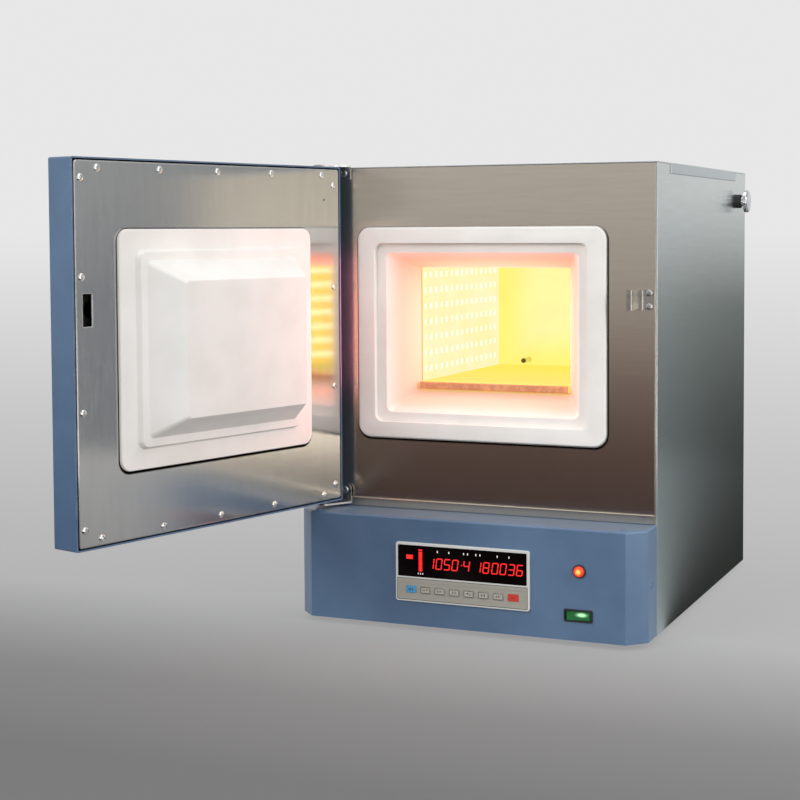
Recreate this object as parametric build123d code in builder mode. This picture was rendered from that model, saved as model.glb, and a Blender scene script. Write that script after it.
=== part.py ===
from build123d import *
import os
from math import cos, radians, sin

os.makedirs("parts", exist_ok=True)

# An electric muffle furnace for a bench, standing with its door open, in millimetres.
# +Z is up, the front looks along -Y, and the origin is in the middle of the base pan's underside.

# Cabinet
cabinet_width = 400.0
cabinet_depth = 430.0
cabinet_headroom = 19.5
cabinet_sheet = 1.2
edge_gap = 1.3
flange_width = 15.0
skirt_height = 11.5
skirt_length = 316.0
skirt_shift = 4.0
rear_skirt_height = 16.0
top_bend = 3.0
ledge_height = 10.0
ledge_proud = 2.5
ledge_rounding = 0.8
fit_gap = 0.2
seat_gap = 0.3

# Base cover, base pan and feet
base_height = 118.0
base_reach = 52.5
base_chamfer = 19.0
base_sheet = 1.5
base_rounding = 2.5
pan_wall = 12.0
foot_height = 6.0
foot_radius = 14.0
foot_inset = 42.0
foot_taper = 12.0
foot_stem_radius = 3.0
foot_stem_length = 5.0
foot_seat_gap = 2.0
foot_seat_rise = 1.0
vent_slot_length = 46.0
vent_slot_width = 5.0
vent_slot_pitch = 14.0
vent_slot_count = 6
cover_tab_length = 28.0
cover_tab_height = 24.0
side_screw_drop = 60.0
side_screw_reach = 21.6
top_screw_inset = 24.0
top_screw_reach = 42.0

# Insulation, chamber and inner casing
shelf_z = 169.5
shelf_flange = 12.0
cable_hole_margin = 8.0
casing_sheet = 1.0
floor_board_thickness = 77.0
side_board_thickness = 61.0
roof_board_thickness = 53.0
rear_board_thickness = 54.0
chamber_width = 178.0
chamber_depth = 253.0
chamber_height = 138.0
hearth_thickness = 8.0
hearth_side_gap = 1.0
hearth_rear_gap = 2.0
hearth_overhang = 8.0
hearth_rounding = 1.5

# Collar round the mouth
collar_width = 289.4
collar_height = 235.0
collar_z = 315.0
collar_radius = 14.0
collar_proud = 3.0
collar_depth = 51.0
collar_rounding = 1.5
collar_gap = 1.2
recess_width = 249.2
recess_height = 200.0
recess_depth = 7.0
recess_radius = 9.0
mouth_width = 226.0
mouth_height = 179.0
mouth_radius = 7.0
chamber_radius = 0.8

# Heater panels and elements
heater_thickness = 20.0
heater_skin = 6.0
row_count = 7
row_pitch = 18.0
first_row_height = 21.0
window_count = 15
window_pitch = 16.2
window_length = 8.0
window_height = 6.5
groove_height = 9.0
groove_end = 4.0
wire_radius = 1.5
wire_depth = 4.0
return_offset = 6.0
bend_margin = 5.0
tail_length = 26.0
tail_hole_radius = 2.5
terminal_radius = 6.0
terminal_length = 14.0

# Thermocouple
thermocouple_x = -48.0
thermocouple_height = 15.0
thermocouple_reach = 25.0
sheath_radius = 3.0
head_radius = 13.0
head_length = 24.0

# Flue pipe and its damper
flue_radius = 17.0
flue_wall = 2.0
flue_y = 50.0
flue_bend = 30.0
flue_clearance = 4.0
flue_lift = 5.2
flue_spigot = 12.0
spigot_step = 0.5
damper_y = 168.0
shaft_radius = 3.0
shaft_clearance = 0.05
shaft_tail = 4.0
flap_thickness = 1.5
flap_clearance = 0.5
bush_radius = 8.5
bush_length = 6.0
bush_neck_radius = 6.0
bush_neck_length = 5.0
bush_rounding = 1.2
knob_radius = 14.0
knob_neck_radius = 6.0
knob_neck_length = 4.0
knob_thickness = 5.0
knob_grip = 6.0

# Door, with its sizes as it lies when shut
open_angle = 105.0
door_width = 382.0
door_bottom = 126.0
door_thickness = 34.0
door_sheet = 1.5
door_corner = 2.0
door_gap = 7.5
liner_inset = 3.2
liner_sheet = 1.2
liner_fold = 10.0
liner_corner = 3.0
insulation_gap = 12.0
insulation_side_gap = 2.0
pad_width = 274.0
pad_height = 235.6
pad_thickness = 4.0
pad_radius = 12.0
plug_z = 314.0
step_width = 233.2
step_height = 195.0
step_thickness = 6.0
step_slope = 2.0
step_radius = 10.0
plug_width = 213.4
plug_height = 174.2
plug_front_width = 172.0
plug_front_height = 134.5
plug_length = 34.0
plug_radius = 6.0
plug_front_radius = 4.0
liner_row_inset = 6.7
liner_row_pitch = 80.0
liner_row_count = 5
free_column_inset = 7.2
free_column_heights = (16.6, 128.3, 257.4, 351.2)
hinge_column_inset = 8.6
hinge_column_heights = (16.4, 127.0, 237.5, 350.1)
vent_hole_x = -164.2
vent_hole_drop = 33.8
vent_hole_radius = 1.2

# Hinges
pivot_inset = 12.3
pivot_depth = 16.5
pin_radius = 2.5
pin_clearance = 0.05
hinge_bush_radius = 5.0
hinge_bush_length = 12.0
hinge_washer_radius = 6.5
hinge_plate = 2.0
hinge_plate_gap = 0.5
lower_plate_gap = 3.5
hinge_ear = 1.5
hinge_nose = 9.0
upper_ear_width = 15.0
upper_ear_height = 16.0
lower_ear_width = 14.0
lower_ear_height = 22.0
ear_offset = 17.0
ear_screw_drop = 9.0
lower_screw_rise = 2.0
lower_ear_flat = 2.0

# Latch and keeper
latch_x = 160.0
latch_z = 355.0
slot_x = 173.8
slot_width = 11.0
slot_height = 31.0
slot_radius = 1.0
keeper_height = 21.3
keeper_sheet = 1.5
keeper_outer_x = 197.0
keeper_fold_x = 184.0
keeper_step = 1.8
keeper_leg_x = 175.5
keeper_lip_x = 171.0
keeper_reach = 14.5
keeper_screw_x = 191.5
keeper_screw_pitch = 14.4
cam_radius = 14.4
cam_width = 11.0
cam_hub_radius = 7.5
cam_thickness = 3.0
cam_depth = 2.0
spindle_radius = 4.0
spindle_clearance = 0.05
latch_bush_radius = 13.0
latch_bush_flange = 3.0
latch_neck_radius = 7.0
latch_neck_length = 12.0
handle_gap = 0.3
handle_boss_radius = 12.0
handle_length = 74.0
handle_end_radius = 7.0
handle_thickness = 13.0
handle_rounding = 2.5

# Screws
screw_radius = 2.0
screw_head_radius = 3.7
screw_head_height = 1.4
screw_head_chamfer = 0.5
screw_length = 6.0
screw_hole_radius = 2.1

# Controller, keys, lamp and rocker switch
controller_z = 59.05
bezel_width = 154.0
bezel_height = 64.5
bezel_thickness = 3.0
bezel_radius = 3.0
bezel_rounding = 1.0
case_width = 144.0
case_height = 58.0
case_depth = 60.0
window_width = 148.3
window_high = 34.4
window_z = 71.3
window_thickness = 1.5
window_radius = 1.0
keypad_width = 144.7
keypad_height = 16.1
keypad_z = 40.25
keypad_depth = 0.5
key_count = 8
key_pitch = 16.8
key_width = 12.0
key_height = 7.5
key_radius = 1.2
key_rounding = 0.4
key_proud = 0.9
key_travel = 0.7
key_depth = 2.2
pilot_x = 131.2
pilot_z = 73.6
pilot_radius = 7.0
pilot_flange = 2.0
pilot_chamfer = 0.5
pilot_body_radius = 5.0
pilot_body_length = 20.0
lens_radius = 5.8
lens_seat = 1.0
lens_height = 3.6
lens_rounding = 2.4
rocker_x = 130.1
rocker_z = 26.8
rocker_flange_width = 31.0
rocker_flange_height = 13.0
rocker_flange = 2.0
rocker_corner = 1.5
rocker_chamfer = 0.4
rocker_body_width = 29.0
rocker_body_height = 11.0
rocker_body_depth = 18.0
rocker_wall = 0.8
rocker_pivot_depth = 5.0
rocker_radius = 13.4
rocker_face = 4.5
rocker_back = 4.5
rocker_tilt = 6.0
rocker_clearance = 0.3

# Parts in the base bay and on the rear panel
sink_x = -110.0
sink_y = 104.0
sink_width = 84.0
sink_length = 100.0
sink_plate = 6.0
sink_fin_height = 26.0
sink_fin = 2.0
sink_fin_count = 8
relay_width = 45.0
relay_length = 58.0
relay_height = 22.0
relay_chamfer = 2.0
block_x = 120.0
block_y = 138.0
block_width = 72.0
block_length = 22.0
block_height = 18.0
block_ways = 5
block_slot_width = 11.0
block_slot_depth = 7.0
gland_x = 150.0
gland_z = 45.0
gland_bore = 4.0
gland_thread_radius = 8.0
gland_hex_radius = 12.0
gland_hex_height = 5.0
gland_dome_radius = 9.5
gland_dome_length = 15.0
gland_rounding = 3.0
gland_tail = 9.0
louvre_width = 70.0
louvre_height = 7.0
louvre_depth = 5.0
louvre_wall = 1.0
louvre_pitch_x = 110.0
louvre_pitch_z = 18.0
louvre_rows = 6
louvre_z = 300.0
rear_screw_rows = 4
rear_screw_margin = 40.0

# Directions that holes, screws and sketches face
FORWARD = (0, -1, 0)
BACKWARD = (0, 1, 0)
RIGHT = (1, 0, 0)
LEFT = (-1, 0, 0)
UP = (0, 0, 1)

# Places worked out from the sizes
side_x = cabinet_width / 2
front_y = -cabinet_depth / 2
rear_y = cabinet_depth / 2
panel_half = side_x - cabinet_sheet - edge_gap
panel_back_y = front_y + cabinet_sheet
bend_clear = top_bend - cabinet_sheet
base_front_y = front_y - base_reach
shelf_top = shelf_z + cabinet_sheet
board_bottom = shelf_top + casing_sheet + seat_gap
chamber_floor = board_bottom + floor_board_thickness
chamber_roof = chamber_floor + chamber_height
chamber_z = (chamber_floor + chamber_roof) / 2
board_top = chamber_roof + roof_board_thickness
collar_front_y = front_y - collar_proud
recess_y = collar_front_y + recess_depth
chamber_front_y = collar_front_y + collar_depth
chamber_rear_y = chamber_front_y + chamber_depth
chamber_y = (chamber_front_y + chamber_rear_y) / 2
board_rear_y = chamber_rear_y + rear_board_thickness
chamber_half = chamber_width / 2
heater_back_x = chamber_half + heater_thickness
board_half = heater_back_x + side_board_thickness
casing_half = board_half + seat_gap + casing_sheet
casing_top = board_top + seat_gap + casing_sheet
casing_rear_y = board_rear_y + seat_gap + casing_sheet
flue_z = casing_top + flue_lift + flue_radius
cabinet_height = flue_z + flue_radius + cabinet_headroom
top_sheet_z = cabinet_height - cabinet_sheet
panel_top_z = top_sheet_z - seat_gap
row_z = [chamber_floor + first_row_height + row_pitch * i for i in range(row_count)]
hearth_top = chamber_floor + hearth_thickness
thermocouple_z = chamber_floor + thermocouple_height
liner_y = front_y - door_gap
door_top = cabinet_height
door_height = door_top - door_bottom
door_mid_z = door_bottom + door_height / 2
pivot_x = pivot_inset - door_width / 2
pivot_y = liner_y - pivot_depth
liner_width = door_width - 2 * liner_inset
liner_height = door_height - 2 * liner_inset
liner_bottom = door_mid_z - liner_height / 2
ear_x = pivot_x + ear_offset
ledge_y = front_y - ledge_proud

# The shut door lies along +X from its pivot; these turn it to where it stands open.
door_turn = radians(-open_angle)
door_along = Vector(cos(door_turn), sin(door_turn), 0)
door_inward = Vector(-sin(door_turn), cos(door_turn), 0)
door_outward = door_inward * -1


def front_plane(y):
    """A sketch plane across the cabinet at y: sketch x is X, sketch y is Z, facing forward."""
    return Plane.XZ.offset(-y)


def spot(x, y, z, facing):
    """A plane at one point, for a screw or a hole that faces that way."""
    return Plane(origin=(x, y, z), z_dir=facing)


def door_plane(depth):
    """A sketch plane in the door, depth behind the liner's face towards the cabinet.

    Sketch x is X and sketch y is Z as they are with the door shut, facing out of the door."""
    pivot = Vector(pivot_x, pivot_y, 0)
    corner = pivot + door_along * -pivot_x + door_inward * (pivot_depth + depth)
    return Plane(origin=corner, x_dir=door_along, z_dir=door_outward)


def door_spot(x, z, depth, facing):
    """A plane at one point of the door, named by its place with the door shut."""
    return Plane(origin=door_plane(depth).from_local_coords((x, z, 0)), z_dir=facing)


def pan_screws(spots, length=screw_length):
    """Pan head screws whose heads sit on the given spots."""
    with BuildPart() as screws:
        with Locations(*spots):
            Cylinder(screw_radius, length, align=(Align.CENTER, Align.CENTER, Align.MAX))
            Cone(
                screw_head_radius,
                screw_head_radius - screw_head_chamfer,
                screw_head_height,
                align=(Align.CENTER, Align.CENTER, Align.MIN),
            )
    return screws


def save(piece, name):
    """Label a finished piece and write it under its node's name."""
    piece.part.label = name
    export_step(piece.part, f"parts/{name}.step")


# Where the screws sit
keeper_screws = [
    spot(keeper_screw_x, front_y - keeper_sheet, latch_z + side * keeper_screw_pitch / 2, FORWARD)
    for side in (-1, 1)
]
upper_plate_z = door_top + hinge_plate_gap
lower_plate_z = door_bottom - lower_plate_gap - hinge_plate
upper_screw_z = upper_plate_z + hinge_plate - ear_screw_drop
lower_screw_z = lower_plate_z + lower_ear_height - ear_screw_drop + lower_screw_rise
upper_ear_screw = spot(ear_x, front_y - hinge_ear, upper_screw_z, FORWARD)
lower_ear_screw = spot(ear_x, ledge_y - hinge_ear, lower_screw_z, FORWARD)
base_side_screws = [
    spot(side * side_x, front_y - side_screw_reach, base_height - side_screw_drop, (side, 0, 0))
    for side in (-1, 1)
]
base_top_screws = [
    spot(side * (side_x - top_screw_inset), front_y - top_screw_reach, base_height, UP)
    for side in (-1, 1)
]
rear_screw_x = panel_half - flange_width / 2
rear_screw_step = (cabinet_height - rear_skirt_height - 2 * rear_screw_margin) / (rear_screw_rows - 1)
rear_screws = [
    spot(side * rear_screw_x, rear_y, rear_screw_margin + rear_screw_step * row, BACKWARD)
    for side in (-1, 1)
    for row in range(rear_screw_rows)
]
liner_screw_places = [
    (liner_row_pitch * (i - (liner_row_count - 1) / 2), height)
    for i in range(liner_row_count)
    for height in (liner_row_inset, liner_height - liner_row_inset)
]
liner_screw_places += [(liner_width / 2 - free_column_inset, height) for height in free_column_heights]
liner_screw_places += [(hinge_column_inset - liner_width / 2, height) for height in hinge_column_heights]
liner_spots = [door_spot(x, liner_bottom + height, 0, door_inward) for x, height in liner_screw_places]

# Base pan: a shallow tray with chamfered front corners and a pressed-up seat for each rubber foot.
pan_half = side_x - base_sheet - fit_gap
pan_front_y = base_front_y + base_sheet + fit_gap
pan_rear_y = rear_y - 2 * cabinet_sheet - fit_gap
foot_pitch_x = cabinet_width - 2 * foot_inset
foot_pitch_y = cabinet_depth - 2 * foot_inset
foot_seat_radius = foot_radius + foot_seat_gap

with BuildPart() as base_pan:
    with BuildSketch():
        with BuildLine():
            Polyline(
                (-pan_half, pan_rear_y),
                (-pan_half, pan_front_y + base_chamfer),
                (-pan_half + base_chamfer, pan_front_y),
                (pan_half - base_chamfer, pan_front_y),
                (pan_half, pan_front_y + base_chamfer),
                (pan_half, pan_rear_y),
                close=True,
            )
        make_face()
    extrude(amount=pan_wall)
    offset(amount=-base_sheet, openings=base_pan.faces().sort_by(Axis.Z)[-1])
    with BuildSketch(Plane.XY.offset(base_sheet)):
        with GridLocations(foot_pitch_x, foot_pitch_y, 2, 2):
            Circle(foot_seat_radius + base_sheet)
    extrude(amount=foot_seat_rise)
    with BuildSketch():
        with GridLocations(foot_pitch_x, foot_pitch_y, 2, 2):
            Circle(foot_seat_radius)
    extrude(amount=foot_seat_rise, mode=Mode.SUBTRACT)
    with BuildSketch():
        with GridLocations(foot_pitch_x, foot_pitch_y, 2, 2):
            Circle(foot_stem_radius + shaft_clearance)
        with GridLocations(0, vent_slot_pitch, 1, vent_slot_count):
            SlotOverall(vent_slot_length, vent_slot_width)
    extrude(amount=base_sheet + foot_seat_rise, mode=Mode.SUBTRACT)
save(base_pan, "base_pan")

with BuildPart() as rubber_feet:
    with BuildSketch(Plane.XY.offset(foot_seat_rise)):
        with GridLocations(foot_pitch_x, foot_pitch_y, 2, 2):
            Circle(foot_radius)
    extrude(amount=-foot_seat_rise - foot_height, taper=foot_taper)
    with BuildSketch(Plane.XY.offset(foot_seat_rise)):
        with GridLocations(foot_pitch_x, foot_pitch_y, 2, 2):
            Circle(foot_stem_radius)
    extrude(amount=foot_stem_length)
save(rubber_feet, "rubber_feet")

# Base cover: the blue sheet metal bay in front, folded from one sheet, open behind and below.
with BuildPart() as base_front_cover:
    with BuildSketch():
        with BuildLine():
            Polyline(
                (-side_x, front_y),
                (-side_x, base_front_y + base_chamfer),
                (-side_x + base_chamfer, base_front_y),
                (side_x - base_chamfer, base_front_y),
                (side_x, base_front_y + base_chamfer),
                (side_x, front_y),
                close=True,
            )
        make_face()
    extrude(amount=base_height)
    fillet(base_front_cover.edges().filter_by(Axis.Z).sort_by(Axis.Y)[:4], radius=base_rounding)
    top_edges = base_front_cover.faces().sort_by(Axis.Z)[-1].edges().sort_by(Axis.Y)[:-1]
    fillet(top_edges, radius=base_rounding)
    open_faces = [
        base_front_cover.faces().sort_by(Axis.Z)[0],
        base_front_cover.faces().sort_by(Axis.Y)[-1],
    ]
    offset(amount=-base_sheet, openings=open_faces)
    with BuildSketch(front_plane(base_front_y)):
        with Locations((0, controller_z)):
            Rectangle(case_width + 2 * fit_gap, case_height + 2 * fit_gap)
        with Locations((pilot_x, pilot_z)):
            Circle(pilot_body_radius + fit_gap)
        with Locations((rocker_x, rocker_z)):
            Rectangle(rocker_body_width + 2 * fit_gap, rocker_body_height + 2 * fit_gap)
    extrude(amount=-base_sheet, mode=Mode.SUBTRACT)
    with Locations(*base_side_screws, *base_top_screws):
        Hole(screw_hole_radius, depth=base_sheet)
save(base_front_cover, "base_front_cover")


# Side panels: brushed sheet with a flange behind each end and a tab that the base cover screws to.
def side_panel(side):
    mid_x = side * (side_x - cabinet_sheet / 2)
    flange_x = side * (side_x - cabinet_sheet - flange_width / 2)
    flange_y = rear_y - cabinet_sheet - cabinet_sheet / 2
    tab_x = side * (side_x - base_sheet - fit_gap - cabinet_sheet / 2)
    tab_y = front_y + 2 * cabinet_sheet - cover_tab_length / 2
    tab_z = base_height - side_screw_drop
    front_flange_z = pan_wall + fit_gap
    with BuildPart() as panel:
        with BuildSketch():
            with Locations((mid_x, 0)):
                Rectangle(cabinet_sheet, cabinet_depth)
            with Locations((flange_x, flange_y)):
                Rectangle(flange_width, cabinet_sheet)
        extrude(amount=top_sheet_z)
        chamfer(panel.edges().filter_by(Axis.X).group_by(Axis.Z)[-1].sort_by(Axis.Y)[-1], bend_clear)
        with BuildSketch(Plane.XY.offset(front_flange_z)):
            with Locations((flange_x, -flange_y)):
                Rectangle(flange_width, cabinet_sheet)
        extrude(amount=top_sheet_z - front_flange_z)
        with Locations((tab_x, tab_y, tab_z)):
            Box(cabinet_sheet, cover_tab_length, cover_tab_height)
        with Locations(spot(tab_x, front_y - side_screw_reach, tab_z, (side, 0, 0))):
            Hole(screw_hole_radius)
        for screw in rear_screws:
            if screw.origin.X * side > 0:
                with Locations(screw):
                    Hole(screw_hole_radius, depth=4 * cabinet_sheet)
    return panel


left_side_panel = side_panel(-1)
save(left_side_panel, "left_side_panel")

with BuildPart() as right_side_panel:
    add(side_panel(1).part)
    with Locations(*keeper_screws):
        Hole(screw_hole_radius, depth=keeper_sheet + 4 * cabinet_sheet)
    with Locations(spot(side_x, damper_y, flue_z, RIGHT)):
        Hole(bush_neck_radius + fit_gap, depth=2 * cabinet_sheet)
save(right_side_panel, "right_side_panel")

# Top cover: folded down behind, with a short lap over the middle of each side panel.
with BuildPart() as top_cover:
    with BuildSketch(Plane.YZ.offset(-side_x)):
        with BuildLine():
            FilletPolyline(
                (front_y, cabinet_height),
                (rear_y + cabinet_sheet, cabinet_height),
                (rear_y + cabinet_sheet, cabinet_height - rear_skirt_height),
                radius=top_bend,
            )
            offset(amount=cabinet_sheet, side=Side.RIGHT)
        make_face()
    extrude(amount=cabinet_width)
    lap_x = side_x + cabinet_sheet / 2
    lap_y = (front_y + rear_y) / 2 - skirt_shift
    with Locations((lap_x, lap_y, cabinet_height), (-lap_x, lap_y, cabinet_height)):
        Box(cabinet_sheet, skirt_length, skirt_height, align=(Align.CENTER, Align.CENTER, Align.MAX))
save(top_cover, "top_cover")

# Front panel: stainless sheet with a ledge along its foot and an opening for the collar.
with BuildPart() as front_panel:
    with BuildSketch(front_plane(front_y)):
        with Locations((0, base_height)):
            Rectangle(2 * panel_half, panel_top_z - base_height, align=(Align.CENTER, Align.MIN))
        with Locations((0, collar_z)):
            RectangleRounded(
                collar_width + 2 * collar_gap,
                collar_height + 2 * collar_gap,
                collar_radius + collar_gap,
                mode=Mode.SUBTRACT,
            )
    extrude(amount=-cabinet_sheet)
    with BuildSketch(front_plane(front_y)):
        with Locations((0, base_height)):
            Rectangle(2 * panel_half, ledge_height, align=(Align.CENTER, Align.MIN))
    extrude(amount=ledge_proud)
    fillet(front_panel.edges().filter_by(Axis.X).sort_by(Axis.Y)[:2], radius=ledge_rounding)
    with Locations(*keeper_screws, upper_ear_screw, lower_ear_screw):
        Hole(screw_hole_radius, depth=hinge_ear + ledge_proud + cabinet_sheet)
save(front_panel, "front_panel")


# Rear panel: two columns of pressed louvres, the flue opening and the mains gland's hole.
def louvre_bar(x, z, wall):
    """One louvre's quarter-round hood, or its hollow when it is drawn in by a wall."""
    reach = louvre_depth - wall
    high = louvre_height - wall
    with BuildPart() as bar:
        with BuildSketch(Plane.YZ.offset(x - louvre_width / 2 + wall)):
            with BuildLine():
                Line((rear_y, z), (rear_y + reach, z))
                EllipticalCenterArc((rear_y, z), reach, high, start_angle=0, arc_size=90)
                Line((rear_y, z + high), (rear_y, z))
            make_face()
        extrude(amount=louvre_width - 2 * wall)
    return bar.part


louvre_places = [
    (column * louvre_pitch_x / 2, louvre_z - louvre_pitch_z * row)
    for column in (-1, 1)
    for row in range(louvre_rows)
]
with BuildPart() as rear_panel:
    with BuildSketch(front_plane(rear_y)):
        with Locations((0, base_sheet + fit_gap)):
            Rectangle(
                2 * panel_half,
                panel_top_z - bend_clear - base_sheet - fit_gap,
                align=(Align.CENTER, Align.MIN),
            )
        with Locations((0, flue_z)):
            Circle(flue_radius + seat_gap, mode=Mode.SUBTRACT)
        with Locations((gland_x, gland_z)):
            Circle(gland_thread_radius + fit_gap, mode=Mode.SUBTRACT)
    extrude(amount=cabinet_sheet)
    for louvre_x, louvre_row_z in louvre_places:
        add(louvre_bar(louvre_x, louvre_row_z, 0))
        add(louvre_bar(louvre_x, louvre_row_z, louvre_wall), mode=Mode.SUBTRACT)
    with BuildSketch(front_plane(rear_y)):
        with Locations(*louvre_places):
            Rectangle(
                louvre_width - 2 * louvre_wall,
                louvre_height - 2 * louvre_wall,
                align=(Align.CENTER, Align.MIN),
            )
    extrude(amount=cabinet_sheet, mode=Mode.SUBTRACT)
    with Locations(*rear_screws):
        Hole(screw_hole_radius, depth=cabinet_sheet)
save(rear_panel, "rear_panel")

# Collar: a ceramic fibre ring with a shallow step, then a mouth that tapers to the chamber.
with BuildPart() as collar:
    with BuildSketch(front_plane(collar_front_y)):
        with Locations((0, collar_z)):
            RectangleRounded(collar_width, collar_height, collar_radius)
    extrude(amount=-collar_depth)
    fillet(collar.faces().sort_by(Axis.Y)[0].edges(), radius=collar_rounding)
    with BuildSketch(front_plane(collar_front_y)):
        with Locations((0, collar_z)):
            RectangleRounded(recess_width, recess_height, recess_radius)
    extrude(amount=-recess_depth, mode=Mode.SUBTRACT)
    with BuildSketch(front_plane(recess_y)):
        with Locations((0, collar_z)):
            RectangleRounded(mouth_width, mouth_height, mouth_radius)
    with BuildSketch(front_plane(chamber_front_y)):
        with Locations((0, chamber_z)):
            RectangleRounded(chamber_width, chamber_height, chamber_radius)
    loft(mode=Mode.SUBTRACT)
save(collar, "collar")

# Insulation: five boards round the chamber and a frame round the collar.
board_middle_y = (chamber_front_y + board_rear_y) / 2
board_length = board_rear_y - chamber_front_y

with BuildPart() as floor_board:
    with Locations((0, board_middle_y, board_bottom)):
        Box(
            2 * board_half,
            board_length,
            floor_board_thickness,
            align=(Align.CENTER, Align.CENTER, Align.MIN),
        )
save(floor_board, "floor_board")

with BuildPart() as roof_board:
    with Locations((0, board_middle_y, chamber_roof)):
        Box(
            2 * board_half,
            board_length,
            roof_board_thickness,
            align=(Align.CENTER, Align.CENTER, Align.MIN),
        )
    with Locations(spot(0, flue_y, board_top, UP)):
        Hole(flue_radius + flue_clearance, depth=roof_board_thickness)
save(roof_board, "roof_board")


def side_board(side):
    with BuildPart() as board:
        with Locations((side * (heater_back_x + side_board_thickness / 2), board_middle_y, chamber_z)):
            Box(side_board_thickness, board_length, chamber_height)
    return board


left_side_board = side_board(-1)
save(left_side_board, "left_side_board")
right_side_board = side_board(1)
save(right_side_board, "right_side_board")

wire_x = chamber_half + heater_skin + wire_depth
return_x = wire_x + return_offset
wire_ends = [
    (side * x, z) for side in (-1, 1) for x, z in ((wire_x, row_z[0]), (return_x, row_z[-1]))
]

with BuildPart() as rear_board:
    with BuildSketch(front_plane(chamber_rear_y)):
        with Locations((0, chamber_z)):
            Rectangle(2 * heater_back_x, chamber_height)
        with Locations(*wire_ends):
            Circle(tail_hole_radius, mode=Mode.SUBTRACT)
        with Locations((thermocouple_x, thermocouple_z)):
            Circle(sheath_radius + seat_gap, mode=Mode.SUBTRACT)
    extrude(amount=-rear_board_thickness)
save(rear_board, "rear_board")

with BuildPart() as front_board:
    with BuildSketch(front_plane(chamber_front_y)):
        with Locations((0, board_bottom)):
            Rectangle(2 * board_half, board_top - board_bottom, align=(Align.CENTER, Align.MIN))
        with Locations((0, collar_z)):
            RectangleRounded(
                collar_width + 2 * seat_gap,
                collar_height + 2 * seat_gap,
                collar_radius + seat_gap,
                mode=Mode.SUBTRACT,
            )
    extrude(amount=chamber_front_y - panel_back_y - seat_gap)
save(front_board, "front_board")

# Inner casing: a thin box round the insulation, open towards the front panel.
with BuildPart() as inner_casing:
    with BuildSketch(front_plane(panel_back_y)):
        with Locations((0, shelf_top)):
            Rectangle(2 * casing_half, casing_top - shelf_top, align=(Align.CENTER, Align.MIN))
    extrude(amount=panel_back_y - casing_rear_y)
    offset(amount=-casing_sheet, openings=inner_casing.faces().sort_by(Axis.Y)[0])
    with Locations(spot(0, flue_y, casing_top, UP)):
        Hole(flue_radius + flue_clearance, depth=casing_sheet)
    with BuildSketch(front_plane(casing_rear_y)):
        with Locations(*wire_ends):
            Circle(tail_hole_radius)
        with Locations((thermocouple_x, thermocouple_z)):
            Circle(sheath_radius + seat_gap)
    extrude(amount=casing_sheet, mode=Mode.SUBTRACT)
save(inner_casing, "inner_casing")

shelf_half = side_x - cabinet_sheet - fit_gap
shelf_length = cabinet_depth - 4 * cabinet_sheet - 2 * fit_gap
cable_hole_radius = (rear_y - casing_rear_y) / 2 - cable_hole_margin
with BuildPart() as bay_shelf:
    with BuildSketch(Plane.XY.offset(shelf_z)):
        Rectangle(2 * shelf_half, shelf_length)
        with Locations((0, (casing_rear_y + rear_y) / 2)):
            Circle(cable_hole_radius, mode=Mode.SUBTRACT)
    extrude(amount=cabinet_sheet)
    with BuildSketch(Plane.XY.offset(shelf_z)):
        with GridLocations(2 * shelf_half - cabinet_sheet, 0, 2, 1):
            Rectangle(cabinet_sheet, shelf_length)
    extrude(amount=-shelf_flange)
save(bay_shelf, "bay_shelf")


# Heater panels: seven grooves from behind hold the wire, and rows of windows let the glow out.
def heater_panel(side):
    front_end = chamber_front_y + groove_end
    rear_end = chamber_rear_y - groove_end
    pocket = row_pitch + groove_height
    pocket_length = row_pitch / 2 + wire_radius + bend_margin
    with BuildPart() as panel:
        with BuildSketch(Plane.YZ.offset(side * chamber_half)):
            with Locations((chamber_y, chamber_z)):
                Rectangle(chamber_depth, chamber_height)
        extrude(amount=side * heater_thickness)
        with BuildSketch(Plane.YZ.offset(side * (chamber_half + heater_skin))):
            for row, z in enumerate(row_z):
                with Locations((front_end, z)):
                    Rectangle(rear_end - front_end, groove_height, align=(Align.MIN, Align.CENTER))
                if row in (0, row_count - 1):
                    with Locations((chamber_y, z)):
                        Rectangle(chamber_depth / 2, groove_height, align=(Align.MIN, Align.CENTER))
                if row < row_count - 1:
                    middle = z + row_pitch / 2
                    end, edge = (rear_end, Align.MAX) if row % 2 else (front_end, Align.MIN)
                    with Locations((end, middle)):
                        Rectangle(pocket_length, pocket, align=(edge, Align.CENTER))
        extrude(amount=side * heater_thickness, mode=Mode.SUBTRACT)
        with BuildSketch(Plane.YZ.offset(side * chamber_half)):
            with Locations((chamber_y, (row_z[0] + row_z[-1]) / 2)):
                with GridLocations(window_pitch, row_pitch, window_count, row_count):
                    Rectangle(window_length, window_height)
        extrude(amount=side * heater_skin, mode=Mode.SUBTRACT)
    return panel


left_heater_panel = heater_panel(-1)
save(left_heater_panel, "left_heater_panel")
right_heater_panel = heater_panel(1)
save(right_heater_panel, "right_heater_panel")


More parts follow.
